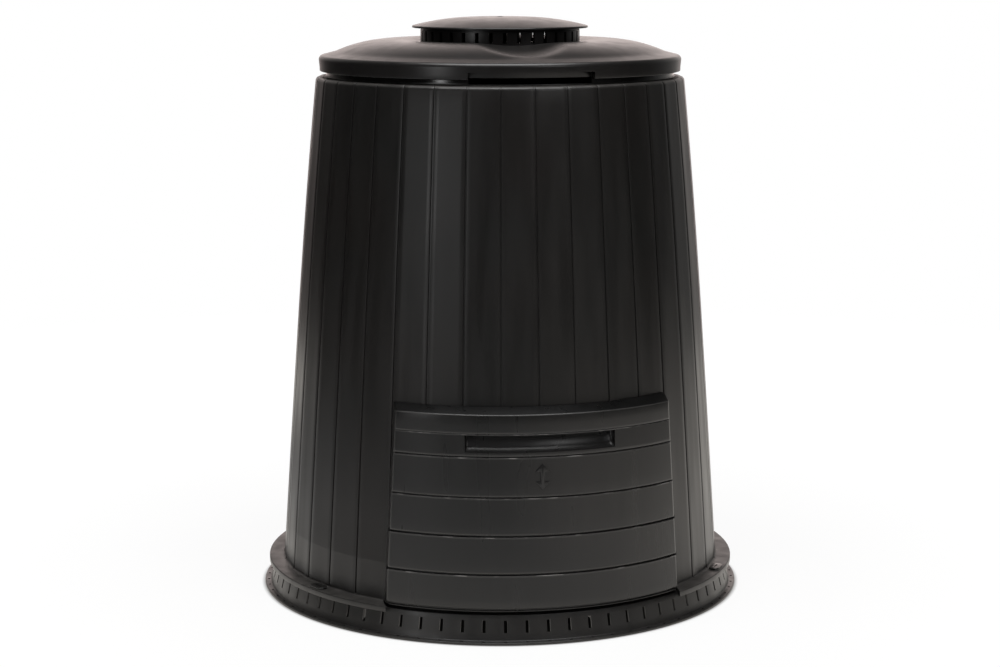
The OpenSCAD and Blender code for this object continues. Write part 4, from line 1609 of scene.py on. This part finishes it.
@dataclass
class DomedLid:
    """The lift-off lid with its grip scoop, hand cut-out and slotted vent collar. Sizes in millimetres.

    Attributes:
        draft: How much less the skirt's radius is at its foot.
        crown: Height of the top of the dome.
        crown_radius: Radius at which the dome is highest.
        crown_arc: Radius of the arc of its section.
        band_slope: Fall of the straight band round the dome.
        band_width: Width of that band.
        grip_inside: Radius at which the hand cut-out begins.
        scoop_reach: Radius up to which the scoop is pressed in.
        scoop_radius: Radius of the round bar that shapes the scoop.
        scoop_fall: Degrees by which that bar falls to the front.
        scoop_softness: Height over which the scoop's edges are soft.
        rings: Inside, outside and foot of the seat on the neck and of the ring that drops inside it.
        vent_slot: Width, foot and top of the vent's slots.
        vent_turn: Degrees by which the slots stand round from the right.
        bore: Radius of the hole that the pivot pin runs in.
        spokes: Directions of the spokes, in degrees.
        spoke_half: Half width of a spoke.
        spoke_drop: How far its top is below the hub's.
    """

    radius: float = 316.5
    wall: float = 3.5
    skirt_low: float = 914.0
    skirt_high: float = 932.5
    draft: float = 1.4
    rim_rounding: float = 8.0
    crown: float = 967.8
    crown_radius: float = 190.0
    crown_arc: float = 240.0
    band_slope: float = 0.26
    band_width: float = 20.0
    grip_angle: float = 19.5
    grip_height: float = 11.5
    grip_inside: float = 306.0
    scoop_depth: float = 10.0
    scoop_reach: float = 300.0
    scoop_radius: float = 260.0
    scoop_fall: float = 5.7
    scoop_softness: float = 3.5
    rings: tuple[Corner, ...] = ((300.5, 304.0, 932.3), (295.0, 298.5, 916.0))
    collar_radius: float = 139.0
    collar_top: float = 984.8
    vent_wall: float = 3.0
    vent_slots: int = 36
    vent_slot: tuple[float, float, float] = (6.8, 964.8, 982.8)
    vent_turn: float = 3.5
    hub_radius: float = 14.0
    hub_height: float = 10.0
    bore: float = 5.08
    spokes: tuple[float, ...] = (45.0, 135.0, 225.0, 315.0)
    spoke_half: float = 4.0
    spoke_drop: float = 2.0

    @property
    def vent_inside(self) -> float:
        """Radius of the inside of the collar."""
        return self.collar_radius - self.vent_wall

    @property
    def hub_low(self) -> float:
        """Height of the underside of the hub."""
        return self.top(self.vent_inside) - self.hub_height

    def top(self, r: float, push: float = 0.0) -> float:
        """Height of the dome.

        Args:
            r: A radius.
            push: The wall by which it is pushed down.

        Returns:
            The height there.
        """
        band = self.radius - self.rim_rounding - self.band_width
        on_arc = min(r, band)
        rise = math.sqrt((self.crown_arc - push) ** 2 - (on_arc - self.crown_radius) ** 2)
        return self.crown - self.crown_arc + rise - self.band_slope * (r - on_arc)

    def dome_line(self, push: float) -> Outline:
        """The dome and its rim, from the vent out.

        Args:
            push: The wall by which it is pushed down.

        Returns:
            Its points.
        """
        rim, rounding = self.radius - push, self.rim_rounding - push / 2.0
        brink = rim - rounding
        steps, rim_steps = 26, 8
        line = []
        for step in range(steps + 1):
            r = self.vent_inside + (brink - self.vent_inside) * step / steps
            line.append((r, self.top(r, push)))
        height = self.top(brink, push) - rounding
        start = QUARTER_TURN - math.atan(self.band_slope)
        for step in range(1, rim_steps + 1):
            turn = start * (1.0 - step / rim_steps)
            line.append((brink + rounding * math.cos(turn), height + rounding * math.sin(turn)))
        return line

    def outline(self) -> Outline:
        """The closed section of the dome and skirt.

        Returns:
            Its points.
        """
        low = self.radius - self.draft
        lip_top = self.skirt_low + 6.0
        lip = rounded([(low + 0.1, lip_top, 0.0), (low, self.skirt_low, 1.0),
                       (low - self.wall, self.skirt_low, 1.0), (low - self.wall, lip_top, 0.0)], 3)
        return self.dome_line(0.0) + lip + self.dome_line(self.wall)[::-1]

    def scoop_floor(self, x: float, y: float, push: float) -> float:
        """Height of the round bar that shapes the scoop.

        Args:
            x: Place to the right.
            y: Place to the back.
            push: The wall by which the bar is widened.

        Returns:
            The height there.
        """
        fall = math.radians(self.scoop_fall)
        middle = self.crown - self.scoop_depth + self.crown_radius * math.tan(fall)
        lift = self.scoop_radius - math.sqrt((self.scoop_radius + push) ** 2 - x * x)
        return middle + y * math.tan(fall) + lift / math.cos(fall)

    def press_scoop(self, bm: Shape) -> None:
        """Presses the grip scoop into the front of the dome, with soft edges.

        Args:
            bm: The dome.
        """
        for vert in bm.verts:
            x, y, z = vert.co
            r = math.hypot(x, y)
            if y < 0.0 and abs(x) < self.scoop_radius and r < self.scoop_reach and z > self.skirt_high:
                push = 0.0 if z > self.top(r) - self.wall / 2.0 else self.wall
                floor = self.scoop_floor(x, y, push)
                blend = max(1.0 - abs(z - floor) / self.scoop_softness, 0.0)
                vert.co.z = min(z, floor) - blend * blend * self.scoop_softness / 4.0

    def grip_tool(self) -> Shape:
        """The hand cut-out in the skirt.

        Returns:
            The shape to cut away.
        """
        section = ring_section(self.grip_inside, self.radius + 5.0, self.skirt_low - 1.0,
                               self.skirt_low + self.grip_height)
        return turned(section, 40, math.radians(2.0 * self.grip_angle), FRONT)

    def seat_rings(self) -> Shape:
        """The seat that stands on the neck, and the ring that drops inside it.

        Returns:
            Both rings.
        """
        parts = []
        for inside, outside, low in self.rings:
            high = self.top(outside, self.wall) + 1.0
            corners = [(inside, low, 0.6), (outside, low, 0.6), (outside, high, 0.0), (inside, high, 0.0)]
            parts.append(turned(rounded(corners, 2), 180))
        return gathered(*parts)

    def slotted_ring(self, outside: float, low: float, high: float) -> Shape:
        """A ring with the vent's slots through it.

        Args:
            outside: Its outer radius.
            low: Height of its foot.
            high: Height of its top.

        Returns:
            The ring.
        """
        width, slot_low, slot_high = self.vent_slot
        inside = outside - self.vent_wall
        half = width / 2.0 / outside
        edge = math.pi / self.vent_slots
        outline = rounded([(inside, low, 0.0), (outside, low, 0.0), (outside, slot_low, 0.0),
                           (outside, slot_high, 0.0), (outside, high, 0.5), (inside, high, 0.5),
                           (inside, slot_high, 0.0), (inside, slot_low, 0.0)], 2)
        angles = (-edge, -edge * 0.62, -half, 0.0, half, edge * 0.62, edge)

        def in_slot(_: float, z: float) -> bool:
            """Whether a height lies in the slots."""
            return slot_low < z < slot_high

        bm = slotted_sector(outline, angles, math.radians(self.vent_turn), (in_slot,))
        return repeated(bm, self.vent_slots)

    def spider(self) -> Shape:
        """The hub and the spokes that carry the vent's pivot.

        Returns:
            Both in one shape.
        """
        low, high = self.hub_low, self.hub_low + self.hub_height
        hub = rounded([(self.bore, low, 0.4), (self.hub_radius, low, 0.8), (self.hub_radius, high, 0.8),
                       (self.bore, high, 0.4)], 2)
        parts = [turned(hub, 64)]
        for angle in self.spokes:
            turn = Matrix.Rotation(math.radians(angle), 4, "Z")
            parts.append(block((self.hub_radius - 2.0, -self.spoke_half, low),
                               (self.vent_inside + 1.0, self.spoke_half, high - self.spoke_drop), 0.8, turn))
        return gathered(*parts)

    def build(self) -> None:
        """Builds the lid, its rings, its collar and its spider."""
        shell = turned(self.outline(), 360)
        self.press_scoop(shell)
        shell = combined(shell, self.grip_tool())
        Piece("domed_lid", Body.LID, "lid_black", Finish.LID, ("lid_shell",)).place(shell)
        Piece("lid_rings", Body.LID, "lid_black", Finish.LID).place(self.seat_rings(), welded=False)
        collar = self.slotted_ring(self.collar_radius, self.hub_low, self.collar_top)
        Piece("vent_collar", Body.LID, "lid_black", Finish.LID).place(collar)
        Piece("vent_spider", Body.LID, "lid_black", Finish.LID).place(self.spider(), welded=False)


@dataclass
class VentCap:
    """The turning cap over the vent, with its shutter ring and pivot pin. Sizes in millimetres.

    Attributes:
        lid: The lid that it turns on.
        flat_radius: Radius of the flat middle of the cap.
        rim_height: Height of the cap's edge.
        rim_inset: How far inside the edge the cap's rounded top ends.
        pip: Height of the small pip in its middle.
        boss: Radius of the boss, and how far its top is below the cap's.
        pin_head: Radius and height of the pin's head, below the hub.
        pin: Radius of the pin, and how far it reaches above the hub.
        pin_gap: Room between the hub and what turns above and below it.
    """

    lid: DomedLid
    radius: float = 153.6
    low: float = 987.8
    top: float = 1006.8
    flat_radius: float = 40.0
    rim_height: float = 3.3
    rim_inset: float = 3.0
    pip: float = 0.9
    wall: float = 3.0
    shutter_clearance: float = 0.4
    boss: tuple[float, float] = (12.0, 2.5)
    pin_head: tuple[float, float] = (10.0, 3.0)
    pin: tuple[float, float] = (5.0, 10.0)
    pin_gap: float = 0.3

    def surface(self, r: float, push: float = 0.0) -> float:
        """Height of the cap.

        Args:
            r: A radius.
            push: The wall by which it is pushed down.

        Returns:
            The height there.
        """
        fall = self.top - self.pip - self.low - self.rim_height
        reach = self.radius - self.flat_radius
        arc = (reach * reach + fall * fall) / (2.0 * fall)
        return self.top - self.pip - arc + math.sqrt(arc * arc - max(r - self.flat_radius, 0.0) ** 2) - push

    def outline(self) -> Outline:
        """The closed section of the cap, with a small pip in its middle.

        Returns:
            Its points.
        """
        pip = [(0.0, self.top, 0.0), (4.2, self.top - 0.1, 1.0), (6.2, self.surface(6.2), 0.5)]
        steps = 12
        width = self.radius - self.rim_inset - self.flat_radius
        line = [self.flat_radius + width * step / steps for step in range(steps + 1)]
        upper = [(r, self.surface(r), 0.0) for r in line]
        inside = self.radius - self.wall
        rim = [(self.radius, self.surface(self.radius), 1.6), (self.radius, self.low, 1.0),
               (inside, self.low, 0.8)]
        under = [(min(r, inside - 0.5), self.surface(r, self.wall), 0.0) for r in reversed(line)]
        return rounded(pip + upper + rim + under + [(0.0, self.surface(0.0, self.wall), 0.0)], 4)

    def shutter(self) -> Shape:
        """The slotted ring that hangs inside the collar.

        Returns:
            The ring.
        """
        outside = self.lid.vent_inside - self.shutter_clearance
        low = self.lid.hub_low + self.lid.hub_height - 1.0
        return self.lid.slotted_ring(outside, low, self.surface(outside, self.wall / 2.0))

    def build(self) -> None:
        """Builds the cap, its shutter, its boss and its pin."""
        dome = turned(self.outline(), 240)
        Piece("vent_dome", Body.VENT, "cap_black", Finish.VENT, ("vent_cap",)).place(dome)
        Piece("vent_shutter", Body.VENT, "cap_black", Finish.VENT).place(self.shutter())
        hub_low, hub_top = self.lid.hub_low, self.lid.hub_low + self.lid.hub_height
        boss_radius, boss_drop = self.boss
        boss = rod(boss_radius, hub_top + self.pin_gap, self.top - boss_drop, rounding=0.6)
        Piece("vent_boss", Body.VENT, "cap_black", Finish.VENT).place(boss)
        head_radius, head_height = self.pin_head
        head_top = hub_low - self.pin_gap
        head = rod(head_radius, head_top - head_height, head_top, rounding=0.6)
        pin_radius, pin_reach = self.pin
        pin = gathered(head, rod(pin_radius, hub_low - 1.0, hub_top + pin_reach))
        Piece("pivot_pin", Body.VENT, "clip_black", Finish.CLIP, ("vent_pivot",)).place(pin, welded=False)


# ------------------------------------------------------------------ studio


@dataclass(frozen=True)
class Glow:
    """A soft glow of the surroundings.

    Attributes:
        turn: Degrees to the right of straight beyond the object, as seen from the camera.
        lift: Degrees above the floor.
        sharpness: Power that narrows it.
        colour: Its colour and strength.
    """

    turn: float
    lift: float
    sharpness: float
    colour: Colour


@dataclass(frozen=True)
class Lamp:
    """A soft rectangular lamp.

    Attributes:
        name: Its name.
        place: Where it hangs: to the right, beyond the object, and up.
        aim: Height on the object's axis that it faces.
        size: Its width and height.
        power: Its power in watts.
    """

    name: str
    place: Corner
    aim: float
    size: tuple[float, float]
    power: float


@dataclass(frozen=True)
class FloorPaper:
    """The pale paper of the floor, which keeps the object's shadow, with a painted shadow below the object.

    Each range says between which two distances a value changes, and from what to what.

    Attributes:
        tones: The two tones of the paper.
        painted_shadow_colour: Its colour below the object, a painted shadow.
        edge: Distances from the axis between which the painted shadow ends.
        roughness: Its roughness.
        strength: Strength of the light that it seems to give.
        warmth: Colour of that light where the object mirrors it.
        open_floor: Its share for the camera, outwards.
        near: Its share in the object's gloss, outwards, close to the object.
        around: The same a little further out.
        aside: The same to the right of the object.
        beyond: The same behind the object.
    """

    tones: tuple[Colour, Colour] = ((0.80, 0.80, 0.79), (0.84, 0.84, 0.83))
    # A painted shadow: the paper is near black below the object.
    painted_shadow_colour: Colour = (0.02, 0.02, 0.02)
    edge: tuple[float, float] = (0.422, 0.432)
    roughness: float = 0.9
    strength: float = 1.05
    warmth: Colour = (1.18, 1.12, 1.04)
    open_floor: Range = (0.6, 1.8, 0.86, 1.0)
    near: Range = (0.5, 0.8, 0.8, 0.0)
    around: Range = (0.9, 1.3, 0.3, 0.0)
    aside: Range = (0.1, 0.9, 0.0, 0.9)
    beyond: Range = (0.95, 1.5, 0.0, 0.9)

    def material(self, right: Vector, ahead: Vector) -> bpy.types.Material:
        """Makes the material.

        Args:
            right: Direction to the right of the object.
            ahead: Direction beyond it.

        Returns:
            The material.
        """
        made = bpy.data.materials.new("floor_paper")
        made.use_nodes = True
        links = Links(made.node_tree)
        shader = made.node_tree.nodes["Principled BSDF"]
        place = links.add("ShaderNodeTexCoord").outputs["Object"]
        tone = links.ramp(links.noise(place, scale=3.0, detail=2.0), low=0.2, high=0.8)
        paper = links.mixed(tone, *self.tones)
        reach = links.vectors("LENGTH", place, (0.0, 0.0, 0.0))
        # Past the painted shadow the paper shows its own tone, and only there does it glow to the camera.
        past_painted_shadow = links.ramp(reach, *self.edge)
        links.join(links.mixed(past_painted_shadow, self.painted_shadow_colour, paper), shader.inputs["Base Color"])
        shader.inputs["Roughness"].default_value = self.roughness
        glow = links.add("ShaderNodeEmission")
        glow.inputs["Strength"].default_value = self.strength
        paths = links.add("ShaderNodeLightPath").outputs
        links.join(links.mixed(paths["Is Camera Ray"], self.warmth, (1.0, 1.0, 1.0)), glow.inputs["Color"])
        aside = links.ramp(links.vectors("DOT_PRODUCT", place, right), *self.aside)
        beyond = links.ramp(links.vectors("DOT_PRODUCT", place, ahead), *self.beyond)
        far = links.maths("MULTIPLY", paths["Is Glossy Ray"], links.maths("MAXIMUM", aside, beyond))
        open_floor = links.maths("MULTIPLY", links.ramp(reach, *self.open_floor), past_painted_shadow)
        seen = links.maths("MULTIPLY", paths["Is Camera Ray"], open_floor)
        close = links.maths("MAXIMUM", links.ramp(reach, *self.near), links.ramp(reach, *self.around))
        close = links.maths("MULTIPLY", paths["Is Glossy Ray"], close)
        share = links.maths("MAXIMUM", seen, links.maths("MAXIMUM", far, close))
        mix = links.add("ShaderNodeMixShader")
        links.join(share, mix.inputs["Fac"])
        links.join(shader.outputs["BSDF"], mix.inputs[1])
        links.join(glow.outputs["Emission"], mix.inputs[2])
        links.join(mix.outputs["Shader"], made.node_tree.nodes["Material Output"].inputs["Surface"])
        return made


@dataclass
class Studio:
    """The camera, the floor, the lamps and the surroundings. Sizes in metres."""

    camera_distance: float = 3.901
    camera_height: float = 1.122
    camera_turn: float = -10.0
    camera_pitch: float = 9.85
    lens: float = 79.67
    sensor_width: float = 36.0
    view_end: float = 60.0
    floor_radius: float = 3.0
    paper: FloorPaper = FloorPaper()
    lamps: tuple[Lamp, ...] = (
        Lamp("overhead", (0.0, -0.6, 3.4), 0.55, (2.6, 2.2), 92.0),
        Lamp("key", (1.9, -2.9, 2.6), 0.55, (1.3, 1.3), 10.0),
        Lamp("neck_lamp", (-1.75, -2.35, 0.95), 0.92, (0.3, 1.0), 5.0))
    glows: tuple[Glow, ...] = (
        Glow(0.0, 6.0, 16.0, (1.92, 1.65, 1.58)), Glow(25.0, 6.0, 16.0, (0.36, 0.35, 0.33)),
        Glow(50.0, 6.0, 16.0, (0.15, 0.15, 0.15)), Glow(120.0, 6.0, 16.0, (0.07, 0.07, 0.07)),
        Glow(180.0, 48.0, 6.0, (0.27, 0.26, 0.27)), Glow(-35.0, 26.0, 16.0, (0.35, 0.335, 0.32)))

    def to_world(self, right: float, ahead: float, up: float) -> Vector:
        """A place beside and beyond the object, as seen from the camera.

        Args:
            right: Distance to the right.
            ahead: Distance beyond the object.
            up: Height.

        Returns:
            The place.
        """
        turn = math.radians(-self.camera_turn)
        forward = Vector((math.sin(turn), math.cos(turn), 0.0))
        side = Vector((math.cos(turn), -math.sin(turn), 0.0))
        return side * right + forward * ahead + AXIS * up

    def set_camera(self) -> None:
        """Sets the camera in front, a little to the left of the hatch."""
        data = bpy.data.cameras.new("camera")
        data.sensor_width = self.sensor_width
        data.lens = self.lens
        data.clip_end = self.view_end
        obj = bpy.data.objects.new("camera", data)
        bpy.context.scene.collection.objects.link(obj)
        obj.location = self.to_world(0.0, -self.camera_distance, self.camera_height)
        pitch = math.radians(90.0 - self.camera_pitch)
        obj.rotation_euler = (pitch, 0.0, math.radians(self.camera_turn))
        bpy.context.scene.camera = obj

    def hang(self, lamp: Lamp) -> None:
        """Hangs a lamp.

        Args:
            lamp: The lamp.
        """
        data = bpy.data.lights.new(lamp.name, "AREA")
        data.shape = "RECTANGLE"
        data.size, data.size_y = lamp.size
        data.energy = lamp.power
        obj = bpy.data.objects.new(lamp.name, data)
        obj.location = self.to_world(*lamp.place)
        obj.rotation_euler = (AXIS * lamp.aim - obj.location).to_track_quat("-Z", "Y").to_euler()
        bpy.context.scene.collection.objects.link(obj)

    def set_world(self) -> None:
        """Sets surroundings with soft glows, mostly beyond the object, that are white to the camera."""
        world = bpy.data.worlds.new("surroundings")
        bpy.context.scene.world = world
        world.use_nodes = True
        links = Links(world.node_tree)
        direction = links.add("ShaderNodeTexCoord").outputs["Generated"]
        total: object = (0.0, 0.0, 0.0)
        for glow in self.glows:
            turn, lift = math.radians(glow.turn), math.radians(glow.lift)
            across = math.cos(lift)
            towards = self.to_world(math.sin(turn) * across, math.cos(turn) * across, math.sin(lift))
            facing = links.vectors("DOT_PRODUCT", direction, towards)
            share = links.maths("POWER", links.maths("MAXIMUM", facing, 0.0), glow.sharpness)
            lit = links.vectors("SCALE", glow.colour, share)
            total = links.vectors("ADD", lit, total)
        paths = links.add("ShaderNodeLightPath")
        seen = links.mixed(paths.outputs["Is Camera Ray"], total, (1.0, 1.0, 1.0))
        links.join(seen, world.node_tree.nodes["Background"].inputs["Color"])

    def lay_floor(self) -> None:
        """Lays a round floor of pale paper."""
        bm = bmesh.new()
        bmesh.ops.create_circle(bm, cap_ends=True, segments=96, radius=self.floor_radius)
        obj = as_object(bm, "floor")
        right, ahead = self.to_world(1.0, 0.0, 0.0), self.to_world(0.0, 1.0, 0.0)
        obj.data.materials.append(self.paper.material(right, ahead))

    def build(self) -> None:
        """Builds the studio."""
        self.set_camera()
        self.lay_floor()
        for lamp in self.lamps:
            self.hang(lamp)
        self.set_world()
        bpy.context.scene.view_settings.view_transform = "Standard"


def main() -> None:
    """Builds the studio and the bin."""
    logging.basicConfig(level=logging.INFO, format="%(name)s: %(message)s")
    Studio().build()
    body = PlankedBody()
    body.build()
    SlidingHatch(body).build()
    SlottedBase().build()
    TurnClips().build()
    lid = DomedLid()
    lid.build()
    VentCap(lid).build()


if __name__ == "__main__":
    main()
